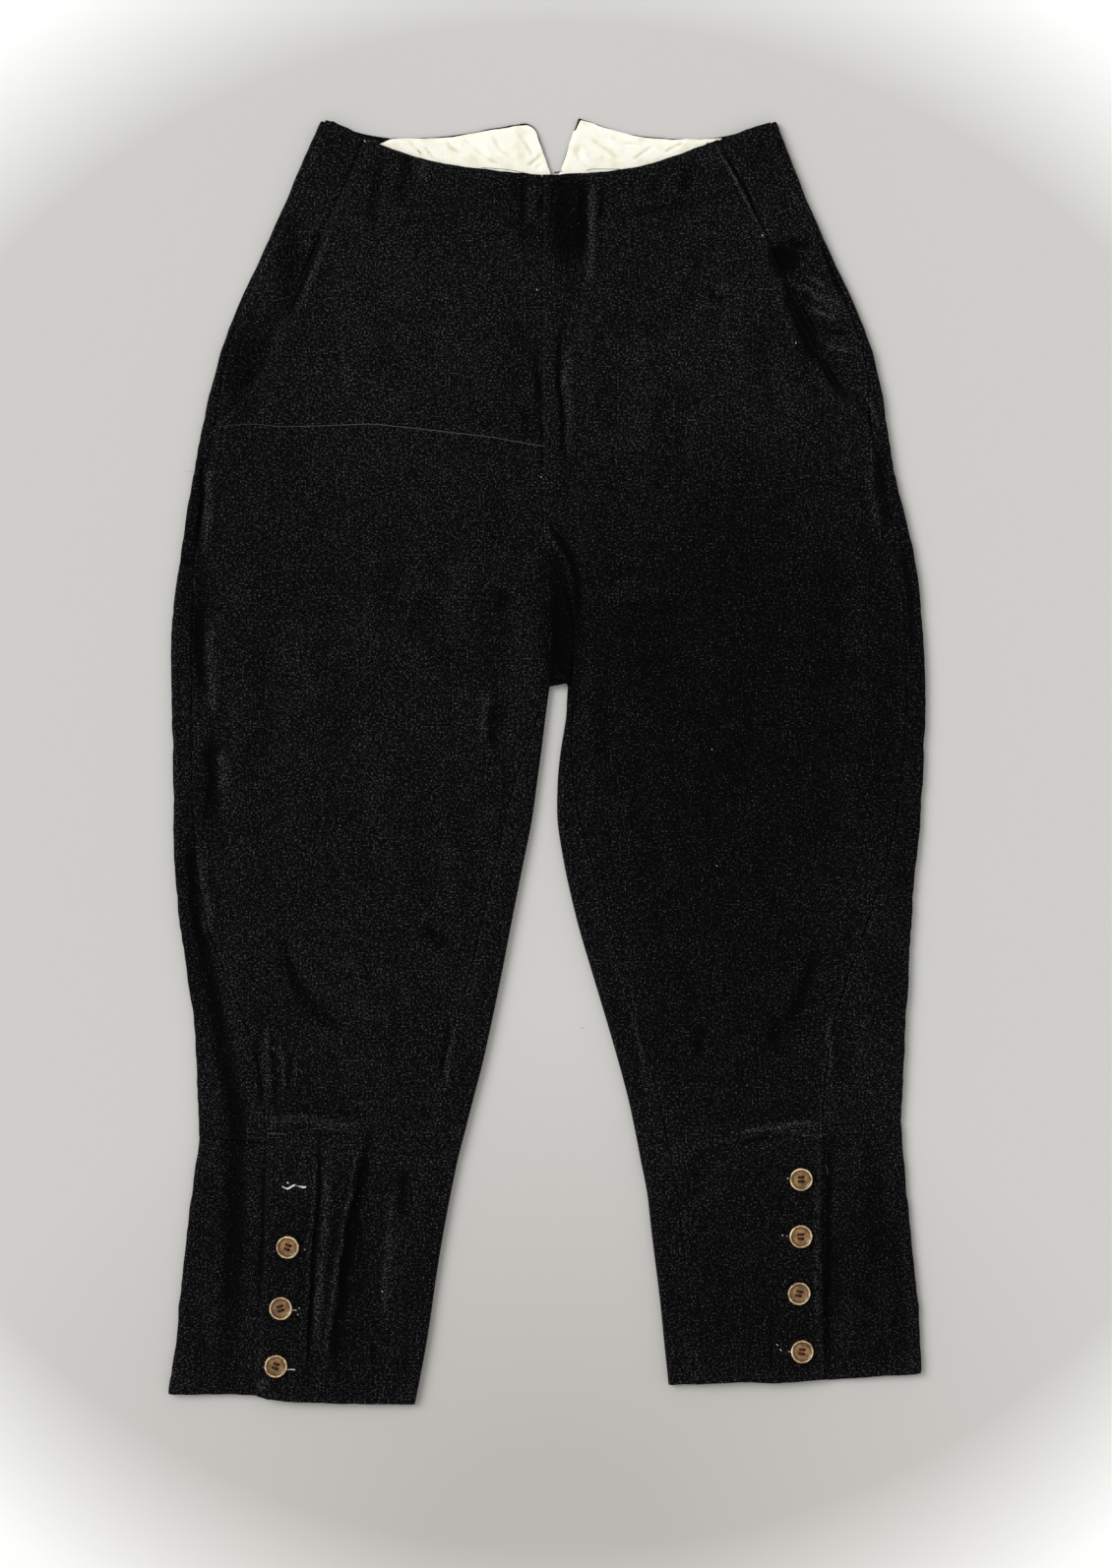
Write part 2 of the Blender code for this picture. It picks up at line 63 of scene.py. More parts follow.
# Back panels
# Each leg's back is cut in one piece of moleskin. It lies flat on its outer face, turns up round the side
# of the leg to the side seam, and below the fork also round the inner fold to the inside leg seam. Years
# of folding have left long soft creases, and the seams pucker a little where they were sewn.
MM = 0.001
CLOTH = 1.4  # thickness of the moleskin, in millimetres like every size here
SIDE_BULGE = 3.3  # how far the round side of a leg stands out past its layers
FORK = 60.0  # y above which the backs are open inside, under the fronts
FORK_END = 51.0  # y below which the inner fold is fully round
FORK_START = 38.5  # y below which the solid's own inner fold is fully round
EDGE_ROUND = 1.8  # how far in from an edge the cloth starts to roll down
EDGE_DROP = 0.75  # how far it has rolled down at the edge itself
TOP_LAYER = 2.5  # height above which the cloth belongs to the top layer
HANDS = {"right": -1, "left": 1}  # the wearer's own, and the way that x runs out to each side

# Width, height and path of each crease in the top layer. A negative height is a trough.
CREASES = (
    # hips and pocket of the right leg
    (5, -0.7, ((-166, 346), (-176, 313), (-190, 280), (-194, 255))),
    (6, 0.7, ((-157, 338), (-169, 301), (-179, 274))),
    (9, -0.85, ((-194, 349), (-202, 320), (-207, 293))),
    (7, 0.7, ((-185, 252), (-194, 246))),
    (4, -0.55, ((-91, 412), (-95, 394), (-100, 370))),
    (4, 0.4, ((-82, 408), (-84, 386))),
    (3, -0.5, ((-111, 406), (-115, 382), (-120, 358))),
    (8, 0.7, ((-129, 313), (-135, 267), (-136, 234))),
    (10, -0.7, ((-106, 313), (-108, 280), (-104, 241))),
    # centre front
    (1.5, -0.7, ((-16.5, 391), (-16.5, 343))),
    (1.5, -0.6, ((-5, 382), (-5, 364))),
    (4, 0.4, ((-11, 390), (-10, 359))),
    (9, -1.3, ((13, 394), (15, 362), (17, 330))),
    (3, -1.1, ((23.5, 394), (23.5, 360), (22, 334))),
    (2.4, 1.0, ((29, 390), (30, 350), (29, 312))),
    (1.5, -0.9, ((36, 388), (36, 361))),
    (1.3, -1.5, ((9, 294), (7.3, 262), (8.6, 241), (11, 218), (11, 197))),
    (1.6, 0.7, ((11, 268), (12, 248))),
    (1.3, -0.9, ((-8, 270), (-5, 255), (-4, 218), (-4.6, 190))),
    (3, -0.6, ((-13, 240), (-14, 214))),
    (3.5, 0.5, ((16, 287), (14, 247), (15, 201))),
    (1.8, -0.55, ((-7, 285), (-7, 247), (-7, 215))),
    (7, 0.5, ((0, 313), (1, 247), (1, 181))),
    (14, -0.7, ((42, 313), (40, 260), (37, 214))),
    (10, 0.7, ((65, 293), (62, 247), (55, 201))),
    # waist of the left leg
    (1.5, -0.5, ((37, 363), (57, 366), (87, 372), (119, 380))),
    (5, -0.7, ((74, 391), (69, 375))),
    (4, -0.55, ((95, 400), (91, 379))),
    (6, 0.55, ((84, 395), (81, 375))),
    (8, -0.7, ((105, 353), (95, 313), (88, 287))),
    (4, 0.7, ((114, 320), (116, 313))),
    (3, -0.55, ((108, 321), (112, 309), (119, 311))),
    (9, 0.7, ((123, 326), (124, 287), (129, 247))),
    (7, -0.7, ((141, 293), (143, 254), (152, 221))),
    (12, -0.7, ((88, 260), (84, 214), (79, 168))),
    # pocket of the left leg
    (6.4, -1.7, ((151, 346), (158, 338), (167, 329))),
    (3, -0.9, ((160, 346), (176, 345))),
    (4.2, -2.3, ((160, 322), (165, 306), (173, 289), (184, 264))),
    (1.3, -1.2, ((146, 350), (153, 336), (160, 322), (165, 308))),
    (2.6, -1.9, ((180, 272), (191, 256), (202, 242))),
    (2.4, 1.1, ((167, 321), (177, 314), (187, 305))),
    (1.6, 0.8, ((172, 326), (180, 322), (188, 316))),
    (2, 0.9, ((176, 303), (187, 299), (194, 296))),
    (1.8, -0.8, ((170, 314), (182, 308), (190, 298))),
    (1.8, -0.8, ((181, 292), (190, 287), (200, 286))),
    (2, 0.7, ((186, 281), (196, 276), (204, 276))),
    (1.2, 0.8, ((112, 413), (125, 392), (135, 371), (145, 352))),
    (1.1, -1.2, ((114, 414), (127, 393), (137, 372), (147, 353))),
    (2, -0.8, ((181, 350), (193, 320), (202, 301))),
    (1.5, 0.8, ((213, 248), (218, 234), (223, 220))),
    # pocket of the right leg
    (2.4, -1.2, ((-150, 356), (-160, 330), (-170, 306), (-176, 292))),
    (2.2, 0.7, ((-146, 352), (-156, 326), (-168, 300))),
    (5, -1.2, ((-178, 290), (-196, 262), (-212, 240))),
    # fork
    (1.6, 1.0, ((-3, 156), (5, 146), (12, 134), (16, 120), (18, 100))),
    (1.8, -1.2, ((0, 160), (8, 149), (16, 136), (20, 121), (21, 96))),
    (3, -0.8, ((6, 118), (7, 92), (8, 64))),
    (1.6, 0.6, ((1, 122), (2, 98), (3, 70))),
    (9, 0.7, ((48, 124), (53, 105))),
    (16, -0.7, ((69, 115), (74, 82), (77, 49))),
    (5, 0.7, ((-11, 142), (-13, 122))),
    (4, -0.85, ((-28, 115), (-32, 101))),
    (2.5, -1, ((-37, 39), (-36, 23), (-37, 7))),
    (2.5, -0.65, ((-30, 41), (-31, 21))),
    (3, 0.65, ((-41, 49), (-42, 16))),
    (10, -0.85, ((-76, 115), (-84, 95), (-95, 80))),
    (8, 0.7, ((-57, 142), (-62, 109), (-57, 76))),
    (8, -0.55, ((-104, 142), (-110, 89), (-106, 49))),
    (5, 0.4, ((-16, 3), (-20, -25), (-28, -54))),
    (5, -0.5, ((-22, -2), (-28, -30), (-37, -63))),
    # thigh of the right leg
    (1.6, -1.4, ((-230, 206), (-231, 181), (-233, 155), (-236, 138))),
    (3, 0.85, ((-226, 201), (-227, 168), (-230, 135))),
    (2.2, -0.85, ((-246, 134), (-240, 134), (-236, 134))),
    (4, -1, ((-233, 107), (-233, 76), (-230, 41))),
    (4, 0.7, ((-227, 102), (-226, 62), (-222, 23))),
    (4.5, -1.1, ((-226, 20), (-223, -10), (-226, -41))),
    (4, 0.7, ((-218, 10), (-217, -23))),
    (3, -1.1, ((-239, -47), (-237, -76), (-234, -109), (-228, -139))),
    (4, 0.7, ((-232, -50), (-230, -83), (-224, -122))),
    (9, -0.7, ((-194, 89), (-190, 36), (-198, -17))),
    (12, 0.7, ((-169, 115), (-162, 49), (-172, -17))),
    (14, -0.85, ((-136, 49), (-140, -10), (-135, -56))),
    (10, 0.7, ((-110, 10), (-114, -43), (-108, -83))),
    (9, -0.7, ((-82, -17), (-87, -63), (-81, -103))),
    (8, 0.55, ((-62, -50), (-69, -103))),
    # knee of the right leg
    (3.5, -0.6, ((-178, -112), (-174, -132), (-166, -152), (-153, -169), (-136, -180))),
    (6, 0.6, ((-169, -119), (-161, -142), (-147, -159))),
    (4, -0.7, ((-83, -108), (-75, -117), (-67, -126))),
    (5, 0.7, ((-135, -122), (-124, -155), (-121, -188))),
    (6, -0.7, ((-104, -142), (-100, -175), (-104, -208))),
    (7, -0.7, ((-149, -188), (-140, -215), (-144, -235))),
    (1.8, -0.8, ((-196, -180), (-193, -208), (-191, -233))),
    (1.4, 0.7, ((-188, -168), (-187, -194), (-186, -222))),
    (1.5, -0.7, ((-183, -184), (-182, -212), (-182, -233))),
    (1.4, 0.6, ((-179, -182), (-177, -204), (-176, -226))),
    (1.5, -0.6, ((-172, -194), (-173, -222))),
    (1.4, 0.5, ((-168, -196), (-168, -216))),
    (1.5, 0.5, ((-61, -172), (-66, -204), (-70, -224))),
    (2, -0.5, ((-66, -172), (-72, -212))),
    (6, -1.4, ((-220, -173), (-214, -200), (-210, -224))),
    (5, 0.85, ((-210, -169), (-204, -202), (-200, -228))),
    (4, -0.9, ((-229, -122), (-220, -171), (-214, -211), (-207, -253))),
    # band of the right leg
    (2.2, 0.7, ((-189, -240), (-162, -238), (-147, -242), (-123, -244))),
    (5, -1.4, ((-203, -206), (-206, -236), (-208, -262), (-209, -298), (-212, -362), (-216, -400),
               (-218, -424))),
    (5, 0.4, ((-195, -268), (-196, -314), (-199, -360))),
    (1.2, -1.3, ((-189, -262), (-189.6, -300), (-190.6, -340), (-192, -364))),
    (1.2, -1.5, ((-152, -250), (-152, -280), (-153, -300), (-156, -337), (-158, -374), (-161, -408))),
    (1.3, 0.6, ((-155, -256), (-156, -300), (-159, -337), (-161, -380))),
    (3, 0.7, ((-147, -258), (-147, -307), (-152, -347), (-154, -406))),
    (1.7, 1.0, ((-124, -246), (-128, -266), (-131, -289), (-136, -311), (-140, -337), (-146, -381),
                (-150, -413))),
    (3.2, -1.9, ((-117, -241), (-122, -264), (-126, -289), (-131, -314), (-135, -340), (-140, -381),
                 (-144, -413))),
    (8, -0.85, ((-121, -297), (-124, -340), (-128, -373))),
    (1.5, -0.7, ((-116, -388), (-116, -412))),
    (4, 0.55, ((-104, -281), (-106, -334), (-110, -386))),
    (3, -0.55, ((-95, -268), (-98, -307))),
    (5, -0.55, ((-235, -281), (-238, -334), (-242, -386))),
    (4, 0.7, ((-194, -418), (-185, -415))),
    # thigh and knee of the left leg
    (4, -0.85, ((221, 213), (224, 181), (230, 155))),
    (4, 0.35, ((214, 221), (218, 181), (222, 142))),
    (2.5, -0.55, ((236, 155), (242, 115), (243, 62))),
    (12, -0.7, ((187, 142), (194, 89), (191, 36))),
    (12, 0.7, ((161, 115), (165, 49), (158, -10))),
    (14, -0.7, ((128, 89), (129, 23), (123, -37))),
    (10, 0.55, ((99, 36), (95, -17), (99, -63))),
    (10, -0.7, ((55, 10), (62, -37), (71, -83))),
    (7, -0.7, ((36, 49), (37, 10), (44, -30))),
    (6, 0.35, ((25, 82), (25, 36), (29, -4))),
    (8, -0.7, ((148, -30), (144, -76), (152, -109))),
    (8, 0.55, ((201, 10), (203, -37), (195, -76))),
    (4, -0.7, ((182, -121), (176, -139), (168, -162), (158, -178))),
    (7, 0.6, ((191, -129), (182, -155), (169, -175))),
    (1.5, 0.8, ((188, -168), (189, -190), (191, -208))),
    (1.4, 0.6, ((55, -148), (63, -196), (69, -234))),
    (4, -0.7, ((153, -169), (151, -182), (152, -194))),
    (6, -0.7, ((88, -122), (95, -155), (96, -188))),
    (4, -0.55, ((100, -175), (102, -199))),
    (6, 0.7, ((112, -116), (117, -155), (115, -195))),
    (6, -0.55, ((132, -195), (129, -221), (125, -241))),
    (5, -0.7, ((201, -155), (198, -188), (199, -221))),
    (5, 0.55, ((213, -122), (207, -162), (206, -202))),
    # band of the left leg
    (7, -0.8, ((110, -245), (103, -264), (96, -285), (79, -307))),
    (7, 0.35, ((121, -258), (114, -281), (98, -302))),
    (1.8, 0.9, ((121, -250), (135, -247), (151, -245), (164, -242), (183, -241))),
    (2, -0.7, ((125, -256), (141, -252), (161, -250))),
    (6, -0.55, ((95, -320), (98, -360), (103, -400))),
    (5, -0.55, ((115, -314), (119, -353), (116, -393))),
    (1.6, -0.5, ((150, -367), (150, -390), (150, -412))),
    (2.5, 0.4, ((180, -261), (180, -340), (181, -406))),
    (1.5, -1.8, ((188.4, -246), (188.4, -301), (188, -347), (188.6, -408))),
    (5, -0.8, ((192, -318), (193, -350), (192, -380))),
    (7, 0.7, ((199, -268), (201, -334), (202, -400))),
    (5, -0.7, ((216, -248), (219, -294), (222, -340))),
    (5, -0.55, ((230, -301), (235, -347), (238, -393))),
)
# The same for the outer face of the backs, where the garment rests. The heights go up into the cloth.
BACK_CREASES = (
    (9, 0.5, ((-60, 350), (-74, 240), (-70, 160))),
    (7, 0.5, ((-130, 300), (-150, 200), (-168, 120))),
    (8, 0.5, ((-40, 90), (-90, 60), (-140, 64))),
    (6, 0.45, ((-30, 60), (-76, 24), (-120, 10))),
    (10, 0.5, ((-200, 40), (-190, -60), (-196, -130))),
    (7, 0.5, ((-110, -60), (-150, -120), (-186, -150))),
    (6, 0.5, ((-90, -150), (-130, -180), (-170, -186))),
    (8, 0.45, ((-120, -230), (-124, -320), (-130, -400))),
    (9, 0.5, ((64, 340), (80, 250), (72, 150))),
    (7, 0.5, ((128, 310), (146, 210), (170, 110))),
    (8, 0.5, ((44, 84), (86, 52), (150, 58))),
    (6, 0.45, ((36, 50), (80, 20), (118, 0))),
    (10, 0.5, ((196, 60), (204, -40), (188, -120))),
    (7, 0.5, ((120, -70), (156, -126), (190, -146))),
    (6, 0.5, ((96, -140), (140, -176), (180, -180))),
    (8, 0.45, ((130, -240), (124, -320), (134, -400))),
)
# Where the black has paled with age or kept its depth, and where painted shade darkens folds, pocket mouths,
# the fork and the fly: middle, half width, half length and how much paler it is.
FADES_AND_PAINTED_SHADE = (
    ((-110, 290), 110, 120, 0.55),
    ((100, 290), 110, 120, 0.35),
    ((-130, 60), 100, 160, 0.1),
    ((125, 40), 110, 170, -1.2),
    ((-140, -160), 90, 80, 0.1),
    ((125, -160), 90, 80, -0.6),
    ((-150, -340), 90, 80, -0.5),
    ((150, -340), 90, 80, -0.6),
    ((10, 92), 14, 60, -3.0),
    ((15, 364), 13, 44, -2.2),
    ((-6, 372), 24, 34, -0.8),
    ((-209, -300), 8, 110, -1.5),
    ((-236, -90), 12, 100, -0.8),
    ((238, 60), 22, 180, -0.6),
    ((-205, 264), 16, 34, -1.2),
    ((-172, 334), 9, 34, -1.2),
    ((158, 336), 12, 14, -1.4),
    ((173, 290), 8, 30, -1.4),
    ((187, 307), 14, 9, 1.4),
    ((-236, 130), 10, 90, -1.2),
    ((-20, 250), 16, 60, -0.3),
    ((218, -330), 28, 90, -0.5),
    ((-128, -340), 10, 60, -0.5),
)


def ease(share):
    """Rises smoothly from 0 to 1."""
    share = np.clip(share, 0.0, 1.0)
    return share * share * (3 - 2 * share)


def mix(first, second, share):
    """Goes from one value to another as the share goes from 0 to 1."""
    return first + (second - first) * share


def solid_of(node):
    """The CAD solid of a piece, ready to be felt for its faces."""
    bm = bmesh.new()
    bm.from_mesh(frame["nodes"][node].data)
    tree = BVHTree.FromBMesh(bm)
    bm.free()
    return tree


def feel(tree, starts, way):
    """Distance from each start to the solid, looking one way, or no number where it is missed."""
    found = np.full(len(starts), np.nan)
    way = Vector(way)
    for index, start in enumerate(starts):
        distance = tree.ray_cast(Vector(start) * MM, way)[3]
        if distance is not None:
            found[index] = distance / MM
    return found


OVERHEAD = 30  # height from which the solids are felt


def felt_from_above(tree, x, y):
    """Height of a solid's upper face at each place, or no number where it is missed."""
    starts = [(a, b, OVERHEAD) for a, b in zip(x.ravel(), y.ravel())]
    return OVERHEAD - feel(tree, starts, (0, 0, -1))


def soften(values, reach, axis=0):
    """Averages each value with its neighbours and keeps the slope at both ends."""
    values = np.moveaxis(values, axis, 0)
    weights = np.exp(-0.5 * (np.arange(-3 * reach, 3 * reach + 1) / reach) ** 2)
    pad = 3 * reach
    head = 2 * values[0] - values[pad:0:-1]
    tail = 2 * values[-1] - values[-2:-pad - 2:-1]
    padded = np.concatenate([head, values, tail])
    total = sum(w * padded[k:k + len(values)] for k, w in enumerate(weights))
    return np.moveaxis(total / weights.sum(), 0, axis)


def filled(values):
    """Puts the nearest known values where none was found."""
    places = np.arange(len(values))
    known = ~np.isnan(values)
    return np.interp(places, places[known], values[known])


def read_edge(tree, places, along_y, start, way, heights):
    """Where an edge of a solid lies at each place along it, met first from a start at one side."""
    nearest = np.full(len(places), np.nan)
    for height in heights:
        if along_y:
            starts = [(start, place, height) for place in places]
            distances = feel(tree, starts, (way, 0, 0))
        else:
            starts = [(place, start, height) for place in places]
            distances = feel(tree, starts, (0, way, 0))
        nearest = np.fmin(nearest, distances)
    sharp = filled(start + way * nearest)
    smooth = soften(sharp, 8)
    return mix(smooth, sharp, ease(np.abs(smooth - sharp) - 0.4))


def follow(places, values, at):
    """Reads an edge anywhere, and goes on straight past its ends."""
    order = np.argsort(places)
    places, values = places[order], values[order]
    inside = np.interp(at, places, values)
    low = (values[9] - values[0]) / (places[9] - places[0])
    high = (values[-1] - values[-10]) / (places[-1] - places[-10])
    return inside + low * np.minimum(at - places[0], 0) + high * np.maximum(at - places[-1], 0)


NEAR_EDGE = np.array([0.0, 0.4, 0.9, 1.6, 2.6, 4.0])  # where the points beside an edge lie


def spread(length, count):
    """Distances across a length, close together near both edges."""
    length = np.asarray(length, float)[..., None]
    last = NEAR_EDGE[-1]
    share = np.linspace(0, 1, count - 2 * len(NEAR_EDGE) + 2)[1:-1]
    ones = np.ones_like(length)
    return np.concatenate([NEAR_EDGE * ones, last + (length - 2 * last) * share,
                           length - NEAR_EDGE[::-1]], axis=-1)


def uneven(x, y, wide, long, seed):
    """Smooth random heights from -1 to 1, in bumps of that width and length."""
    lattice = np.random.default_rng(seed).uniform(-1, 1, (64, 64))
    across, up = x / wide, y / long
    column, row = np.floor(across).astype(int), np.floor(up).astype(int)
    across, up = ease(across - column), ease(up - row)
    near = mix(lattice[column % 64, row % 64], lattice[(column + 1) % 64, row % 64], across)
    far = mix(lattice[column % 64, (row + 1) % 64], lattice[(column + 1) % 64, (row + 1) % 64], across)
    return mix(near, far, up)


def crease_height(x, y, creases):
    """Height that the creases add at each place. A crease fades out towards both of its ends."""
    total = np.zeros(x.shape)
    for width, height, path in creases:
        points = np.array(path, float)
        low, high = points.min(0) - 3 * width, points.max(0) + 3 * width
        near = (x > low[0]) & (x < high[0]) & (y > low[1]) & (y < high[1])
        if not near.any():
            continue
        px = x[near] + 0.8 * uneven(x[near], y[near], 12, 12, 78)
        py = y[near] + 0.8 * uneven(x[near], y[near], 12, 12, 79)
        steps = np.hypot(*np.diff(points, axis=0).T)
        whole = steps.sum()
        best, place, gone = np.full(px.shape, 1e9), np.zeros(px.shape), 0.0
        for (x0, y0), (x1, y1), step in zip(points, points[1:], steps):
            share = np.clip(((px - x0) * (x1 - x0) + (py - y0) * (y1 - y0)) / step**2, 0, 1)
            away = np.hypot(px - mix(x0, x1, share), py - mix(y0, y1, share))
            place = np.where(away < best, (gone + share * step) / whole, place)
            best = np.minimum(best, away)
            gone += step
        fade = ease(np.minimum(place, 1 - place) / 0.3 + 0.1)
        ragged = 1 + 0.45 * uneven(px, py, 5, 8, 77)
        total[near] += height * fade * ragged * np.exp(-((best / width) ** 2))
    return total


def top_relief(x, y):
    """Creases and soft unevenness of everything in the top layer."""
    long_waves = 0.35 * uneven(x, y, 46, 95, 3) + 0.16 * uneven(x, y, 17, 40, 5)
    crinkles = 0.07 * uneven(x + 0.1 * y, y, 5, 19, 8) + 0.05 * uneven(x, y, 3, 9, 9)
    return crease_height(x, y, CREASES) + long_waves + crinkles


def fade_and_painted_shade(x, y):
    """How much paler than usual the black is at each place, from real fading and from painted shade in folds
    and gaps.
    """
    total = np.zeros(x.shape)
    for middle, wide, long, amount in FADES_AND_PAINTED_SHADE:
        away = np.hypot((x - middle[0]) / wide, (y - middle[1]) / long)
        total += amount * ease(1.35 - away)
    return total


END_SHIFT = 700  # along the straying of a seam, so that the ends stray differently from the sides


def wander(place):
    """How far a seam strays from its line. Both pieces at the seam follow it."""
    return 0.3 * uneven(place, place * 0, 11, 9, 24) + 0.18 * uneven(place, place * 0, 4.5, 9, 25)


def edge_roll(distance):
    """How far the cloth rolls down beside an edge."""
    return EDGE_DROP * np.clip(1 - distance / EDGE_ROUND, 0, 1) ** 2


def pucker(distance, place, seed):
    """Small ripples that run into a seam and die away from it."""
    return 0.16 * np.exp(-distance / 3.5) * uneven(place, place * 0, 2.6, 50, seed)


def finished(bm, name):
    """Turns a bmesh into a mesh."""
    mesh = bpy.data.meshes.new(name)
    bm.to_mesh(mesh)
    bm.free()
    return mesh


def shown(name, data):
    """Puts new data in the scene, at the origin."""
    obj = bpy.data.objects.new(name, data)
    bpy.context.scene.collection.objects.link(obj)
    return obj


def placed(name, mesh, material):
    """Makes a smooth piece that rides with the garment from a mesh that stands in its place."""
    mesh.name = name
    mesh.shade_smooth()
    mesh.materials.clear()
    mesh.materials.append(material)
    obj = shown(name, mesh)
    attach(obj, "root")
    return obj


def panel(name, x, y, z, across, along, wear_and_shade, thickness, material):
    """A piece of cloth from a grid of places, with its own cut as its UV map."""
    rows, columns = x.shape
    bm = bmesh.new()
    bmesh.ops.create_grid(bm, x_segments=columns - 1, y_segments=rows - 1, size=1)
    cells = []
    for vert in bm.verts:
        column = round((vert.co.x + 1) / 2 * (columns - 1))
        row = round((1 - vert.co.y) / 2 * (rows - 1))
        vert.co = Vector((x[row, column], y[row, column], z[row, column])) * MM
        cells.append(row * columns + column)
    bm.normal_update()
    if sum(face.normal.z for face in bm.faces if face.calc_center_median().z > 2 * MM) < 0:
        bmesh.ops.reverse_faces(bm, faces=bm.faces)
    mesh = finished(bm, name)
    cells = np.array(cells)
    # Both attributes carry painted shade: the first darkens crease troughs and hollows and pales ridges
    # partly as wear and partly as painted highlight, and the second holds real fading of the black together
    # with painted shade in folds, pocket mouths, the fork and the fly.
    for key, amount in (("wear_and_shade", wear_and_shade), ("fade", fade_and_painted_shade(x, y))):
        field = mesh.attributes.new(key, "FLOAT", "POINT")
        field.data.foreach_set("value", amount.ravel()[cells].astype(np.float32))
    corners = np.zeros(len(mesh.loops), np.int32)
    mesh.loops.foreach_get("vertex_index", corners)
    cut = np.stack([across.ravel()[cells][corners], along.ravel()[cells][corners]], 1) * MM
    mesh.uv_layers.new(name="cut").data.foreach_set("uv", cut.astype(np.float32).ravel())
    obj = placed(name, mesh, material)
    wall = obj.modifiers.new("thickness", "SOLIDIFY")
    wall.thickness = thickness * MM
    wall.offset = -1
    return obj


def cut_and_laid(piece, node, slot, flat, area, held, rests_on):
    """The piece stands for its solid, which is hidden here. The cut as far as it shows, width and length
    along the cloth, and area, which is less than width times length where the edges slant or curve, is not
    used."""
    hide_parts(node)


NARROW_CREASES = [crease for crease in CREASES if crease[0] < 4.6 or crease[1] < -1.6]


def shade_of(x, y, creases):
    """Painted shade along the troughs of narrow creases, and a paler tone on narrow ridges that is partly
    wear and partly painted highlight.
    """
    return np.clip(crease_height(x, y, creases) / 0.5, -2.4, 1.8)


def ridge_wear_and_hollow_shade(z, reach=3):
    """How much the cloth stands out from the cloth round it: ridges are paled as wear, and hollows are
    darkened as painted shade.
    """
    return np.clip((z - soften(soften(z, reach), reach, 1)) / 0.12, -1, 1)


def linear(code):
    """An sRGB hex colour in the linear values that Blender uses."""
    parts = [int(code[k:k + 2], 16) / 255 for k in (1, 3, 5)]
    return tuple(p / 12.92 if p <= 0.04045 else ((p + 0.055) / 1.055) ** 2.4 for p in parts) + (1.0,)


def add(tree, kind, settings=None, links=None):
    """Adds a shader node, sets its values and joins its inputs."""
    node = tree.nodes.new(kind)
    for key, value in (settings or {}).items():
        if isinstance(key, str) and hasattr(node, key):
            setattr(node, key, value)
        else:
            node.inputs[key].default_value = value
    for key, source in (links or {}).items():
        tree.links.new(source, node.inputs[key])
    return node


def new_material(name, values):
    """A material, its nodes and its shader, with the values that are the same all over the surface."""
    material = bpy.data.materials.new(name)
    material.use_nodes = True
    shader = material.node_tree.nodes["Principled BSDF"]
    for key, value in values.items():
        shader.inputs[key].default_value = value
    return material, material.node_tree, shader


def ramp(tree, source, stops):
    """A colour ramp from (place, hex colour) pairs."""
    node = add(tree, "ShaderNodeValToRGB", links={"Fac": source})
    points = node.color_ramp.elements
    while len(points) < len(stops):
        points.new(0.5)
    for point, (place, code) in zip(points, stops):
        point.position = place
        point.color = linear(code)
    return node.outputs["Color"]


def moleskin(name, darkest, plain, pale, fleck):
    """Moleskin: heavy black cotton, woven close and brushed to a short nap, dyed and washed. To the eye it
    is nearly black, with a fine pale grain where the nap catches the light and short upright crinkles."""
    material, tree, shader = new_material(
        name, {"Specular IOR Level": 0.05, "Sheen Weight": 0.02, "Sheen Roughness": 0.45})
    place = add(tree, "ShaderNodeUVMap", {"uv_map": "cut"}).outputs["UV"]
    # The nap's tufts are 0.3 mm and are drawn at 1.2 mm, because finer ones don't show in the picture.
    nap = add(tree, "ShaderNodeTexNoise", {"Scale": 1 / 0.0012, "Detail": 2.0, "Roughness": 0.7},
              {"Vector": place})
    upright = add(tree, "ShaderNodeMapping", {"Scale": (1 / 0.0018, 1 / 0.007, 1)}, {"Vector": place})
    crinkle = add(tree, "ShaderNodeTexNoise",
                  {"Scale": 1.0, "Detail": 3.0, "Roughness": 0.6, "Distortion": 0.5},
                  {"Vector": upright.outputs["Vector"]})
    patches = add(tree, "ShaderNodeTexNoise", {"Scale": 1 / 0.05, "Detail": 4.0}, {"Vector": place})
    wear_and_shade = add(tree, "ShaderNodeAttribute", {"attribute_name": "wear_and_shade"})
    fade = add(tree, "ShaderNodeAttribute", {"attribute_name": "fade"})
    # Each layer adds its part to one tone, which is about 0.56 on plain cloth.
    tone = add(tree, "ShaderNodeMath", {"operation": "MULTIPLY_ADD", 1: 0.45, 2: -1.025},
               {0: crinkle.outputs["Fac"]})
    # The two attributes add painted shade: troughs of creases, hollows, folds, pocket mouths, the fork and
    # the fly are darkened, and ridges are paled partly as wear and partly as painted highlight. The second
    # attribute also holds real fading.
    for part, source in ((2.6, nap), (0.12, patches), (0.09, wear_and_shade), (0.075, fade)):
        tone = add(tree, "ShaderNodeMath", {"operation": "MULTIPLY_ADD", 1: part},
                   {0: source.outputs["Fac"], 2: tone.outputs[0]})
    colour = ramp(tree, tone.outputs[0], ((0.50, darkest), (0.69, plain), (0.84, pale), (1.0, fleck)))
    tree.links.new(colour, shader.inputs["Base Color"])
    rough = add(tree, "ShaderNodeMapRange", {"To Min": 0.82, "To Max": 1.0}, {"Value": nap.outputs["Fac"]})
    tree.links.new(rough.outputs["Result"], shader.inputs["Roughness"])
    wide = add(tree, "ShaderNodeBump", {"Strength": 0.8, "Distance": 0.0006},
               {"Height": crinkle.outputs["Fac"]})
    fine = add(tree, "ShaderNodeBump", {"Strength": 0.8, "Distance": 0.0004},
               {"Height": nap.outputs["Fac"], "Normal": wide.outputs["Normal"]})
    tree.links.new(fine.outputs["Normal"], shader.inputs["Normal"])
    return material


BLACK_CLOTH = moleskin("black_moleskin", "#010101", "#0B0A0B", "#201E20", "#4A484B")

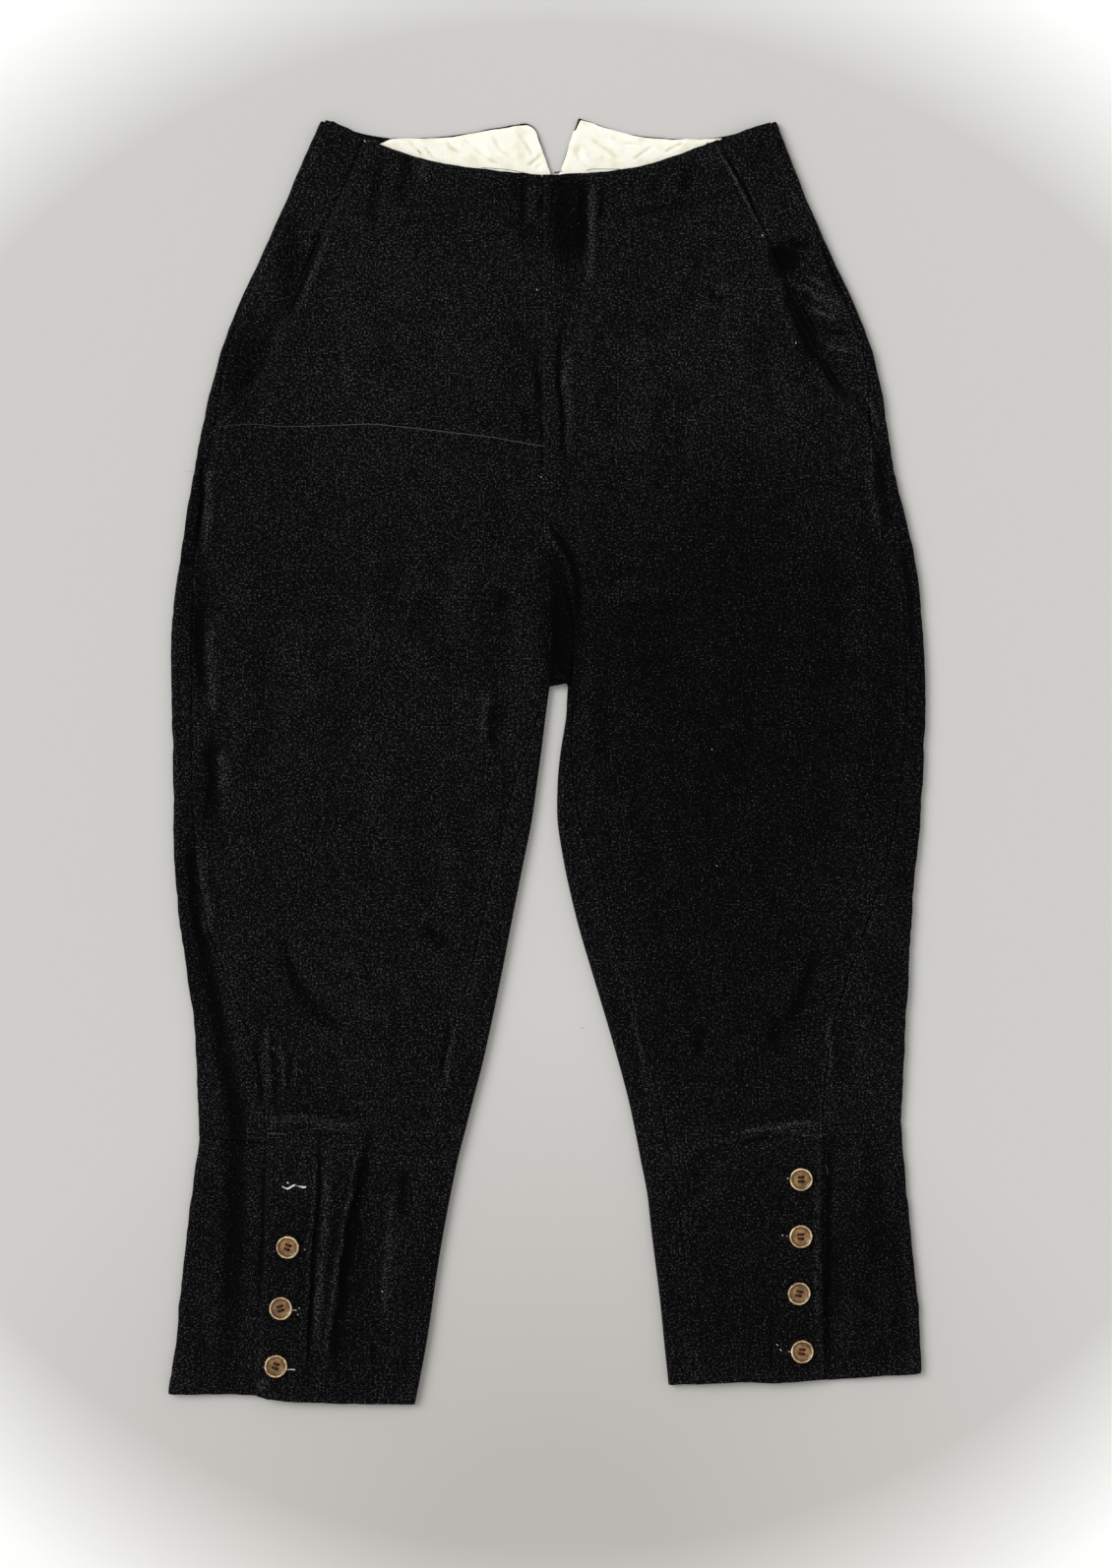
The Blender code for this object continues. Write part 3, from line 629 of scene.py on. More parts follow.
# Where the hem of a knee band arches up between its ends, and how far to each side.
ARCH_MIDDLE = 138.0
ARCH_REACH = 28.0
# Where the feeling for an edge starts: out past the side, in past the middle, and past the two ends.
PAST_SIDE, PAST_MIDDLE, PAST_END = 300, 30, 500
# Usual widths of the strips that a back shows beside its front, at the side and at the inside leg.
SIDE_STRIP, INNER_STRIP = 40.0, 20.0
GUARD = 1.2  # heights are felt at least this far in from an edge


def wrapped_panel(name, node, hand, side_ends, inner_ends, columns, rows, mid, folded_above, peak=1.0,
                  arch=0.0):
    """A back piece that turns up round its leg: from the side seam, round the side, under and up again.
    mid is a place under the front, from which the solid's lips are felt outwards and inwards."""
    tree = solid_of(node)
    heights = np.arange(0.3, 7.4, 0.5)
    lip_heights = np.arange(2.3, 7.4, 0.5)
    stations = np.arange(side_ends[0] + 1.5, side_ends[1] - 1.5, 1.0)
    side = hand * read_edge(tree, stations, True, hand * PAST_SIDE, -hand, heights)
    side_lip = hand * read_edge(tree, stations, True, hand * mid, hand, lip_heights)
    inner_stations = np.arange(inner_ends[0] + 1.5, inner_ends[1] - 1.5, 1.0)
    inner = hand * read_edge(tree, inner_stations, True, -hand * PAST_MIDDLE, hand, heights)
    fold_stations = inner_stations
    if not folded_above:
        fold_stations = inner_stations[inner_stations < FORK_START]
        straight = follow(fold_stations, inner[:len(fold_stations)], inner_stations)
        inner = mix(straight, inner, ease((inner_stations - FORK_END) / (FORK - FORK_END)))
    inner_lip = hand * read_edge(tree, fold_stations, True, hand * mid, -hand, lip_heights)

    hub_height = soften(filled(felt_from_above(tree, hand * (side - SIDE_BULGE - 0.5), stations)), 8)
    inner_hub_out = follow(inner_stations, inner, fold_stations) + 3.6
    inner_height = soften(filled(felt_from_above(tree, hand * inner_hub_out, fold_stations)), 8)

    strip, turn, flat, inner_turn, inner_strip = columns
    across_strip = spread(SIDE_STRIP, strip)[:-1] / SIDE_STRIP
    turns = np.linspace(0, 1, turn)

    def section(y):
        """Places round each row of columns: how far out they are, and how high."""
        lip, out = follow(stations, side_lip, y) + hand * wander(y), follow(stations, side, y)
        out = out + 0.35 * uneven(y, y * 0, 13, 9, 21) + 0.25 * uneven(y, y * 0, 5, 9, 22)
        hub, top = out - SIDE_BULGE, follow(stations, hub_height, np.clip(y, stations[0], stations[-1]))
        parts = [(mix(lip[:, :strip - 1], hub[:, :strip - 1], across_strip), top[:, :strip - 1])]
        c = strip - 1
        angle = math.pi * turns
        parts.append((hub[:, c:c + turn] + SIDE_BULGE * np.sin(angle),
                      top[:, c:c + turn] / 2 * (1 + np.cos(angle))))
        c += turn
        curl = np.ones_like(y) if folded_above else ease((FORK - y) / (FORK - FORK_END))
        curl = np.maximum(curl, 0.01)
        edge = follow(inner_stations, inner, y)
        height = follow(fold_stations, inner_height, np.clip(y, fold_stations[0], fold_stations[-1]))
        if not folded_above:
            height = height * mix(1.0, 0.5, ease((y - FORK_END + 4) / 5))
        end_lip = follow(fold_stations, inner_lip, np.minimum(y, fold_stations[-1])) + hand * wander(y)
        lip_length = mix(6.0, end_lip - edge - height / 2, ease(curl) ** 2)
        radius, sweep = height / 2 / curl, math.pi * curl
        open_reach = radius * np.sin(sweep) + lip_length * np.cos(sweep)
        inner_hub = edge + np.where(sweep > math.pi / 2, radius, open_reach)
        share = np.linspace(0, 1, flat + 2)[1:-1]
        parts.append((mix(hub[:, c:c + flat], inner_hub[:, c:c + flat], share), np.zeros((len(y), flat))))
        c += flat
        part = slice(c, c + inner_turn)
        angle = sweep[:, part] * np.linspace(0, 1, inner_turn)
        parts.append((inner_hub[:, part] - radius[:, part] * np.sin(angle),
                      radius[:, part] * (1 - np.cos(angle))))
        c += inner_turn
        part = slice(c, c + inner_strip - 1)
        share = spread(INNER_STRIP, inner_strip)[1:] / INNER_STRIP
        last_out, last_z = parts[-1][0][:, -1:], parts[-1][1][:, -1:]
        lip_out = last_out - lip_length[:, part] * share * np.cos(sweep[:, part])
        lip_z = last_z + lip_length[:, part] * share * np.sin(sweep[:, part])
        parts.append((lip_out, mix(lip_z, height[:, part], curl[:, part] ** 4)))
        return np.concatenate([p[0] for p in parts], 1), np.concatenate([p[1] for p in parts], 1)

    total = strip - 1 + turn + flat + inner_turn + inner_strip - 1
    top_span = np.arange(inner[-1] + 5, side[-1] - 6, 1.0)
    bottom_span = np.arange(inner[0] + 5, side[0] - 6, 1.0)
    low_heights = np.arange(0.3, 1.4, 0.3)
    tops = read_edge(tree, hand * top_span, False, PAST_END, -1, low_heights)
    bottoms = read_edge(tree, hand * bottom_span, False, -PAST_END, 1, low_heights)
    low, high = (side_ends[0] + inner_ends[0]) / 2, (side_ends[1] + inner_ends[1]) / 2
    top_y, bottom_y = np.full((1, total), high), np.full((1, total), low)
    for _ in range(8):
        top_out, bottom_out = section(top_y)[0], section(bottom_y)[0]
        from_peak = np.clip(top_out - top_out[:, -1:], 0, peak)
        rounding = 0 if folded_above else peak - np.sqrt(peak**2 - (peak - from_peak) ** 2)
        top_y = follow(top_span, tops, top_out) - rounding + wander(hand * top_out + END_SHIFT)
        bottom_y = follow(bottom_span, bottoms, bottom_out) + wander(hand * bottom_out + END_SHIFT)
        bottom_y = bottom_y + arch * np.exp(-((bottom_out - ARCH_MIDDLE) / ARCH_REACH) ** 2)
    share = spread(high - low, rows) / (high - low)
    y = mix(top_y, bottom_y, share[:, None])
    out, z = section(y)

    # The strips that lie on top take their height from the solid, and the creases of the top layer.
    for first, last, lip, way in ((0, strip, out[:, :1], 1), (total - inner_strip, total, out[:, -1:], -1)):
        part = slice(first, last)
        inset = lip + way * np.maximum(np.abs(out[:, part] - lip), GUARD)
        inset_y = np.clip(y[:, part], bottom_y[:, part] + GUARD, top_y[:, part] - GUARD)
        felt = felt_from_above(tree, hand * inset, inset_y).reshape(rows, -1)
        felt = np.where(felt > 2.2, felt, z[:, part])
        felt = soften(soften(felt, 3), 2, 1)
        curled = 1.0 if first == 0 or folded_above else ease((FORK_START - y[:, part]) / 8)
        z[:, part] = mix(z[:, part], felt, curled)
    x = hand * out
    top_share = ease((z - 1.2) / 4.0)
    under_share = ease(1 - z / 1.5)
    lip_distance = np.abs(out - np.where(np.arange(total) < total / 2, out[:, :1], out[:, -1:]))
    lip_distance = np.where(z > TOP_LAYER, lip_distance, 99)
    ends = np.minimum(y[:1] - y, y - y[-1:])
    z = z + top_share * top_relief(x, y)
    under_relief = 0.3 + 0.3 * uneven(x, y, 38, 60, 31) + crease_height(x, y, BACK_CREASES)
    z += under_share * np.clip(under_relief, 0, 0.9)
    z -= np.where(z > TOP_LAYER, edge_roll(lip_distance) + edge_roll(ends), 0)
    z += top_share * (pucker(lip_distance, y, 41) + pucker(ends, x, 42))
    steps = np.hypot(np.diff(out, axis=1), np.diff(z, axis=1))
    across = np.concatenate([np.zeros((rows, 1)), np.cumsum(steps, axis=1)], 1)
    # Painted shade in crease troughs and hollows, paler ridges that are partly wear and partly painted
    # highlight, and edges paled by wear.
    wear_and_shade = top_share * (shade_of(x, y, NARROW_CREASES) + 0.4 * ridge_wear_and_hollow_shade(z)) + 0.3 * np.exp(-lip_distance / 1.6)
    return panel(name, x, y, z, across, y, wear_and_shade, CLOTH, BLACK_CLOTH)


# The lowest and highest y of each back at its side and at its inner edge.
BACK_ENDS = {
    "right": ((-251.5, 427.0), (-266.5, 428.0)),
    "left": ((-240.5, 428.0), (-256.5, 429.0)),
}
# How round the corner of each peak is, and what each back was cut to, in metres.
PEAKS = {"right": 9.0, "left": 1.5}
BACK_CUTS = {"right": ((0.283, 0.696), 0.1711), "left": ((0.283, 0.688), 0.1650)}
for side_name, hand in HANDS.items():
    back = wrapped_panel(f"{side_name}_back_panel", f"{side_name}_back", hand, *BACK_ENDS[side_name],
                         (20, 12, 34, 10, 16), 270, 120, False, PEAKS[side_name])
    cut_and_laid(back, f"{side_name}_back", "moleskin", *BACK_CUTS[side_name], "folded", ["surface"])

# Back lining
# The back waist is lined with unbleached cotton, cut to the same peaks and felled by hand a little below
# the edge. It shows above the front, crumpled by wear, with a row of dark stitches near the front's edge.


def open_panel(name, node, corners, columns, rows, reach, creases, thickness, material, roll=(1, 1, 1, 1),
               trim=None, cut_at=(None, None), marks=NARROW_CREASES):
    """A piece that lies open. Its corners are top left, top right, bottom left and bottom right. roll says
    how much each edge rolls down, in the order left, right, top and bottom."""
    tree = solid_of(node)
    low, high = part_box(node)
    heights = np.arange(low.z / MM + 0.2, high.z / MM, 0.3)
    top_left, top_right, bottom_left, bottom_right = (np.array(c, float) for c in corners)

    def felt_edge(start, end, along_y, side, way):
        axis = 1 if along_y else 0
        step = math.copysign(1.0, end[axis] - start[axis])
        places = np.arange(start[axis] + 1.5 * step, end[axis] - 1.5 * step, step)
        if len(places) < 30:
            places = np.linspace(places[0], places[-1], 30)
        return places, read_edge(tree, places, along_y, side, way, heights)

    left = felt_edge(top_left, bottom_left, True, low.x / MM - 5, 1)
    right = felt_edge(top_right, bottom_right, True, high.x / MM + 5, -1)
    top = felt_edge(top_left, top_right, False, high.y / MM + 5, -1)
    bottom = felt_edge(bottom_left, bottom_right, False, low.y / MM - 5, 1)
    mean = (top_left[1] + top_right[1] - bottom_left[1] - bottom_right[1]) / 2
    down = spread(mean, rows)[:, None] / mean
    left_y, right_y = mix(top_left[1], bottom_left[1], down), mix(top_right[1], bottom_right[1], down)
    left_x = follow(*left, left_y) + wander(left_y) if cut_at[0] is None else cut_at[0] + 0 * left_y
    right_x = follow(*right, right_y) + wander(right_y) if cut_at[1] is None else cut_at[1] + 0 * right_y
    width = right_x - left_x
    share = spread(width[:, 0], columns) / width
    x = mix(left_x, right_x, share)
    top_x, bottom_x = mix(top_left[0], top_right[0], share), mix(bottom_left[0], bottom_right[0], share)
    top_y = follow(*top, top_x) + wander(top_x + END_SHIFT)
    bottom_y = follow(*bottom, bottom_x) + wander(bottom_x + END_SHIFT)
    y = mix(top_y, bottom_y, down)
    inset_x = np.clip(x, left_x + GUARD, right_x - GUARD)
    inset_y = np.clip(y, bottom_y + GUARD, top_y - GUARD)
    z = filled(felt_from_above(tree, inset_x, inset_y)).reshape(rows, columns)
    z = soften(soften(z, reach), reach, 1)
    if trim:
        x, y = trim(x, y, share, down)
    distances = (x - left_x, right_x - x, top_y - y, y - bottom_y)
    for distance, place, amount, seed in zip(distances, (y, y, x, x), roll, (51, 52, 53, 54)):
        z = z - amount * edge_roll(distance) + min(amount, 1) * pucker(distance, place, seed)
    z += creases(x, y)
    nearest = np.minimum.reduce(distances)
    # Painted shade in crease troughs and hollows, paler ridges that are partly wear and partly painted
    # highlight, and edges paled by wear.
    wear_and_shade = shade_of(x, y, marks) + 0.4 * ridge_wear_and_hollow_shade(z) + 0.3 * np.exp(-nearest / 1.6)
    return panel(name, x, y, z, x, y, wear_and_shade, thickness, material)


LINING_CREASES = (
    (1.1, -0.8, ((-94, 417), (-86, 409), (-81, 403))),
    (1.6, 0.5, ((-99, 414), (-92, 406))),
    (1.0, -0.8, ((-83, 413), (-74, 403), (-66, 397))),
    (1.1, -0.8, ((-68, 418), (-64, 411), (-51, 402))),
    (1.2, -0.9, ((-56, 418), (-45, 408), (-31, 398))),
    (1.8, 0.6, ((-61, 414), (-50, 404))),
    (1.1, -0.9, ((-37, 420), (-30, 409), (-19, 401))),
    (1.6, 0.6, ((-42, 415), (-35, 403))),
    (1.0, -0.8, ((-14, 398), (-7, 404), (-3, 409))),
    (1.0, -0.7, ((-8, 396), (-4, 401))),
    (1.1, -0.7, ((-22, 424), (-14, 414), (-7, 403))),
    (1.1, -0.8, ((17, 411), (22, 403), (29, 397))),
    (1.5, 0.6, ((22, 412), (30, 401))),
    (1.2, -0.9, ((28, 419), (38, 411), (51, 403))),
    (1.0, -0.7, ((38, 422), (52, 414), (64, 413))),
    (1.6, 0.6, ((40, 416), (52, 409))),
    (1.0, -0.8, ((57, 403), (71, 413))),
    (1.0, -0.7, ((78, 408), (92, 415))),
)


def lining_creases(x, y):
    """Slanting wrinkles of thin cotton that has been pressed flat again and again."""
    slant = x * 0.8 + y * 1.4
    other = x * 1.2 - y
    loose = 0.22 * uneven(slant, other, 9, 26, 61) + 0.12 * uneven(slant, other, 4, 13, 62)
    return loose + crease_height(x, y, LINING_CREASES)


def trim_right_lining(x, y, share, down):
    """The lining is felled close to the top edge and follows the round peak."""
    edge = x[:, -1:]
    from_peak = np.clip(edge - x, 0, PEAKS["right"])
    rounding = PEAKS["right"] - np.sqrt(PEAKS["right"] ** 2 - (PEAKS["right"] - from_peak) ** 2)
    rise = 1.1 + 0.5 * uneven(x, x * 0, 16, 9, 64)
    return x, y + (1 - down) ** 2 * (rise - 0.9 * rounding - 3.0 * ease(1 - share / 0.09))


def trim_left_lining(x, y, share, down):
    """The lining is felled close to the top edge and to the edge of the notch."""
    x = x - (1 - share) ** 4 * mix(3.9, 0.2, down)
    rise = 1.1 + 0.5 * uneven(x, x * 0, 16, 9, 64)
    return x, y + (1 - down) ** 2 * rise


def cotton(name):
    """Unbleached cotton: a plain weave of fine yarn, soft and creamy, a little stained in blotches. Painted
    shade darkens the troughs of its wrinkles, and painted highlight pales their ridges.
    """
    material, tree, shader = new_material(name, {"Roughness": 0.9, "Specular IOR Level": 0.25})
    place = add(tree, "ShaderNodeUVMap", {"uv_map": "cut"}).outputs["UV"]
    stains = add(tree, "ShaderNodeTexNoise", {"Scale": 1 / 0.012, "Detail": 4.0}, {"Vector": place})
    # This attribute darkens the troughs of the lining's wrinkles as painted shade and pales their ridges
    # partly as wear and partly as painted highlight.
    wear_and_shade = add(tree, "ShaderNodeAttribute", {"attribute_name": "wear_and_shade"})
    tone = add(tree, "ShaderNodeMath", {"operation": "MULTIPLY_ADD", 1: 0.09},
               {0: wear_and_shade.outputs["Fac"], 2: stains.outputs["Fac"]})
    colour = ramp(tree, tone.outputs[0],
                  ((0.1, "#CFCBB6"), (0.36, "#F1EEDB"), (0.48, "#FBF9EA"), (0.7, "#FDFCF5")))
    tree.links.new(colour, shader.inputs["Base Color"])
    # The yarns are 0.35 mm apart and are drawn at 0.9 mm, because finer ones don't show in the picture.
    warp, weft = (add(tree, "ShaderNodeTexWave",
                      {"bands_direction": way, "Scale": 1 / 0.0009 / 3.14, "Distortion": 1.0, "Detail": 1.0},
                      {"Vector": place}) for way in "XY")
    weave = add(tree, "ShaderNodeMath", {"operation": "MULTIPLY"},
                {0: warp.outputs["Fac"], 1: weft.outputs["Fac"]})
    bump = add(tree, "ShaderNodeBump", {"Strength": 0.35, "Distance": 0.0002}, {"Height": weave.outputs[0]})
    tree.links.new(bump.outputs["Normal"], shader.inputs["Normal"])
    return material


LINING_COTTON = cotton("unbleached_cotton")
LINING_CLOTH = 0.6  # thickness of the cotton
# Corners of each half, how its top is trimmed, where its outer end is cut straight, and its cut in metres.
LININGS = {
    "right": (((-113, 415), (-10, 424), (-113, 404), (4.5, 383)), trim_right_lining, (-113, None),
              ((0.119, 0.046), 0.0029)),
    "left": (((18, 427), (117, 414), (7.7, 385), (117, 406)), trim_left_lining, (None, 117),
             ((0.110, 0.046), 0.0026)),
}
for side_name, (corners, trim, cut_at, cut) in LININGS.items():
    lining = open_panel(f"{side_name}_waist_lining", f"{side_name}_lining", corners, 116, 50, 1,
                        lining_creases, LINING_CLOTH, LINING_COTTON, (0.4, 0.4, 0.4, 0.4), trim, cut_at,
                        LINING_CREASES)
    cut_and_laid(lining, f"{side_name}_lining", "cotton", *cut, "laid", [f"{side_name}_back_panel"])

# Fly shield
# A narrow underlap of moleskin behind the fly, sewn to the right front. It closes the opening from behind.
SHIELD_CLOTH = 1.0  # its moleskin is pressed thinner between the fronts and the backs
SHIELD_RISE = 2.6  # how far its top runs up to the edge of the waist
shield = open_panel("fly_underlap", "fly_shield", ((-10, 389.5), (24, 389.5), (-10, 184.5), (24, 184.5)),
                    24, 90, 2, lambda x, y: 0.1 * uneven(x, y, 9, 30, 71), SHIELD_CLOTH, BLACK_CLOTH,
                    trim=lambda x, y, share, down: (x, y + SHIELD_RISE * (1 - down) ** 6))
cut_and_laid(shield, "fly_shield", "moleskin", (0.035, 0.208), 0.0071, "laid",
             ["right_back_panel", "left_back_panel"])

# Hip pieces
# A hip piece faces each slanting pocket and fills the corner between the pocket, the waist and the side
# seam. It is moleskin, cut with some ease, so the cloth behind the pocket mouth is slack and wrinkled.
# Corners, how much each edge rolls down, which is least under the pocket edge, and the cut in metres.
HIPS = {
    "right": (((-146.5, 428), (-105, 413), (-223.3, 224.5), (-213.5, 224.5)), (1, 0.2, 1, 1),
              ((0.110, 0.205), 0.0071)),
    "left": (((98, 411), (147.5, 428), (206, 224.5), (216, 224.5)), (0.2, 1, 1, 1),
             ((0.110, 0.204), 0.0073)),
}
for side_name, (corners, roll, cut) in HIPS.items():
    hip = open_panel(f"{side_name}_hip_piece", f"{side_name}_hip", corners, 60, 150, 2, top_relief, CLOTH,
                     BLACK_CLOTH, roll)
    cut_and_laid(hip, f"{side_name}_hip", "moleskin", *cut, "laid", [f"{side_name}_back_panel"])

# Front panels
# Each front is one piece of moleskin from the waist to the knee band. The slanting edge is turned under
# and stitched as the pocket mouth, and the centre front is closed by the fly as far as the fork.
# Corners, how much each edge rolls down, how far the corner at the pocket stands up, and the cut in metres.
# The two edges at the fly lie almost flush.
FRONTS = {
    "right": (((-114, 416.5), (-3.5, 393), (-187, -255.5), (-85.5, -264)), (1, 0.35, 1, 1), 0,
              ((0.256, 0.681), 0.1257)),
    "left": (((-3, 393), (106, 414), (81.5, -256), (185, -244)), (0.35, 1, 1, 1), 1.4,
             ((0.244, 0.670), 0.1216)),
}
for side_name, (corners, roll, stand, cut) in FRONTS.items():
    front = open_panel(f"{side_name}_front_panel", f"{side_name}_front", corners, 140, 264, 2, top_relief,
                       CLOTH, BLACK_CLOTH, roll,
                       lambda x, y, share, down: (x, y + stand * share**6 * (1 - down) ** 40))
    cut_and_laid(front, f"{side_name}_front", "moleskin", *cut, "laid",
                 [f"{side_name}_back_panel", "fly_underlap"])

# Knee bands
# A deep band of doubled moleskin closes each knee. Its back wraps the side of the leg and runs in under
# the buttoned edge of its front, where it carries the buttons.
ARCHES = {"right": 0.0, "left": 3.0}  # how far each hem arches up
# The lowest and highest y of each band's back at its side and at its inner edge, and its cut in metres.
BAND_BACKS = {
    "right": ((-423.5, -251.8), (-430.5, -266.8), ((0.291, 0.178), 0.0488)),
    "left": ((-409.5, -240.8), (-417.0, -256.8), ((0.298, 0.177), 0.0493)),
}
for side_name, (side_ends, inner_ends, cut) in BAND_BACKS.items():
    band = wrapped_panel(f"{side_name}_knee_band_back", f"{side_name}_band_back", HANDS[side_name],
                         side_ends, inner_ends, (44, 12, 26, 10, 16), 84, 125, True,
                         arch=ARCHES[side_name])
    cut_and_laid(band, f"{side_name}_band_back", "moleskin", *cut, "folded", ["surface"])


def arched_hem(arch):
    """Lifts the hem of a band's front as much as that of its back."""
    return lambda x, y, share, down: (x, y + arch * down**6 * np.exp(-((x - ARCH_MIDDLE) / ARCH_REACH) ** 2))


# Corners of each band's front, and its cut in metres.
BAND_FRONTS = {
    "right": (((-187.5, -255.5), (-85, -264.5), (-194, -424.5), (-113.5, -430)), ((0.110, 0.176), 0.0160)),
    "left": (((81.5, -256.5), (185, -244.5), (99, -417), (186, -414)), ((0.105, 0.175), 0.0157)),
}
for side_name, (corners, cut) in BAND_FRONTS.items():
    band = open_panel(f"{side_name}_knee_band_front", f"{side_name}_band_front", corners, 116, 104, 2,
                      top_relief, CLOTH, BLACK_CLOTH, trim=arched_hem(ARCHES[side_name]))
    cut_and_laid(band, f"{side_name}_band_front", "moleskin", *cut, "laid", [f"{side_name}_knee_band_back"])

# Buttons
# Seven flat trouser buttons of corozo nut are left of eight. Each is turned with a raised rim and a sunk
# face, drilled with four holes, polished, and sewn on through the knee band with two bars of dark thread.
BUTTON_WIDE = 15.4
# Distance from the middle and height of the turned shape, from the middle of its back to its face.
BUTTON_TURNING = (
    (0, 0), (4.6, 0), (6.4, 0.25), (7.25, 0.8), (7.7, 1.45), (7.65, 2.1), (7.4, 2.5), (7.0, 2.7),
    (6.65, 2.66), (6.35, 2.4), (6.1, 2.05), (5.8, 1.7), (5.3, 1.5), (4.2, 1.5), (2.6, 1.62), (0, 1.68),
)
HOLE_APART = 2.9
HOLE_RADIUS = 0.95
BAR_RADIUS = 0.3  # of each of the four threads in a bar
# Middle of each button, height of its back, how far it is turned and how it tips, in degrees.
BUTTONS = {
    "right_button_2": ((-173.2, -324.2), 8.1, -110, (5, -3)),
    "right_button_3": ((-178.1, -365.3), 8.1, -74, (-3, 5)),
    "right_button_4": ((-181.3, -403.7), 8.1, -108, (3, 5)),
    "left_button_1": ((169.8, -279.0), 7.2, -90, (3, -3)),
    "left_button_2": ((169.6, -317.4), 7.2, -89, (-3, -2)),
    "left_button_3": ((168.2, -355.3), 7.2, -103, (4, 4)),
    "left_button_4": ((170.3, -394.3), 7.2, -98, (-2, 3)),
}


def corozo(name):
    """Corozo nut: dense and fine like ivory, dyed tan and polished, so its rim shines. The pale ring on the
    rim is partly dye lost with wear and partly painted highlight. The sunk face keeps more of the brown,
    with painted shade in the corner inside the rim."""
    material, tree, shader = new_material(
        name, {"Roughness": 0.2, "Coat Weight": 0.8, "Coat Roughness": 0.1})
    ring = add(tree, "ShaderNodeUVMap", {"uv_map": "turning"}).outputs["UV"]
    outward = add(tree, "ShaderNodeSeparateXYZ", links={"Vector": ring}).outputs["X"]
    place = add(tree, "ShaderNodeTexCoord").outputs["Object"]
    grain = add(tree, "ShaderNodeTexNoise", {"Scale": 1 / 0.0018, "Detail": 3.0}, {"Vector": place})
    clouds = add(tree, "ShaderNodeTexNoise", {"Scale": 1 / 0.004, "Detail": 3.0}, {"Vector": place})
    uneven_ring = add(tree, "ShaderNodeMath", {"operation": "MULTIPLY_ADD", 1: 0.16, 2: -0.08},
                      {0: grain.outputs["Fac"]})
    spot = add(tree, "ShaderNodeMath", {"operation": "ADD"}, {0: outward, 1: uneven_ring.outputs[0]})
    # By distance from the middle: the dark ring at 0.78, in the corner inside the rim, is painted shade; the
    # pale ring at 0.90 on the rim top is partly dye lost with wear and partly painted highlight; the colour
    # darkens again at the outermost edge.
    colour = ramp(tree, spot.outputs[0], (
        (0.0, "#8A5530"), (0.35, "#A06C32"), (0.62, "#866A28"), (0.78, "#452F14"), (0.84, "#A87E48"),
        (0.90, "#FFEBCB"), (0.96, "#D9B483"), (1.0, "#3A2414")))
    depth = ramp(tree, clouds.outputs["Fac"], ((0.36, "#7A5F3C"), (0.5, "#CDBFA4"), (0.62, "#FFFFFF")))
    stained = add(tree, "ShaderNodeMix", {"data_type": "RGBA", "blend_type": "MULTIPLY", "Factor": 0.8},
                  {"A": colour, "B": depth})
    tree.links.new(stained.outputs["Result"], shader.inputs["Base Color"])
    bump = add(tree, "ShaderNodeBump", {"Strength": 0.25, "Distance": 0.0002},
               {"Height": grain.outputs["Fac"]})
    tree.links.new(bump.outputs["Normal"], shader.inputs["Normal"])
    return material


def turned_button():
    """The button's shape round the z axis, with its four holes drilled through."""
    bm = bmesh.new()
    verts = [bm.verts.new((out * MM, 0, up * MM)) for out, up in BUTTON_TURNING]
    edges = [bm.edges.new(pair) for pair in zip(verts, verts[1:])]
    bmesh.ops.spin(bm, geom=verts + edges, cent=(0, 0, 0), axis=(0, 0, 1), angle=2 * math.pi, steps=64,
                   use_merge=True)
    bmesh.ops.remove_doubles(bm, verts=bm.verts, dist=1e-6)
    bmesh.ops.recalc_face_normals(bm, faces=bm.faces)
    body = shown("button_body", finished(bm, "button_body"))
    bm = bmesh.new()
    for across in (-0.5, 0.5):
        for up in (-0.5, 0.5):
            spot = Matrix.Translation((across * HOLE_APART * MM, up * HOLE_APART * MM, 1 * MM))
            bmesh.ops.create_cone(bm, cap_ends=True, segments=20, radius1=HOLE_RADIUS * MM,
                                  radius2=HOLE_RADIUS * MM, depth=6 * MM, matrix=spot)
    drill = shown("button_drill", finished(bm, "button_drill"))
    cut = body.modifiers.new("holes", "BOOLEAN")
    cut.operation = "DIFFERENCE"
    cut.solver = "MANIFOLD"  # it splits the flat faces in the same way in every run
    cut.object = drill
    drilled = bpy.data.meshes.new_from_object(body.evaluated_get(bpy.context.evaluated_depsgraph_get()))
    bpy.data.objects.remove(body)
    bpy.data.objects.remove(drill)
    return drilled


def thread(name, colour, roughness):
    """Cotton sewing thread: smooth and a little brighter than the cloth round it."""
    values = {"Base Color": linear(colour), "Roughness": roughness, "Specular IOR Level": 0.3}
    return new_material(name, values)[0]


def strand(lengths, start, end, radius):
    """Adds a short length of thread between two places in millimetres, thinner at both ends."""
    places = [(start, 0.4), (start.lerp(end, 0.12), 1.0), (start.lerp(end, 0.88), 1.0), (end, 0.4)]
    lengths.append((places, radius))


def sewn(name, lengths, material, pose=None):
    """Makes one piece of many lengths of round thread."""
    curve = bpy.data.curves.new(name, "CURVE")
    curve.dimensions = "3D"
    curve.bevel_depth = MM
    curve.bevel_resolution = 1
    curve.use_fill_caps = True
    for places, radius in lengths:
        spline = curve.splines.new("POLY")
        spline.points.add(len(places) - 1)
        for point, (spot, share) in zip(spline.points, places):
            point.co = (*(spot * MM), 1)
            point.radius = radius * share
    drawn = shown(name, curve)
    mesh = bpy.data.meshes.new_from_object(drawn.evaluated_get(bpy.context.evaluated_depsgraph_get()))
    bpy.data.objects.remove(drawn)
    if pose:
        mesh.transform(pose)
    return placed(name, mesh, material)


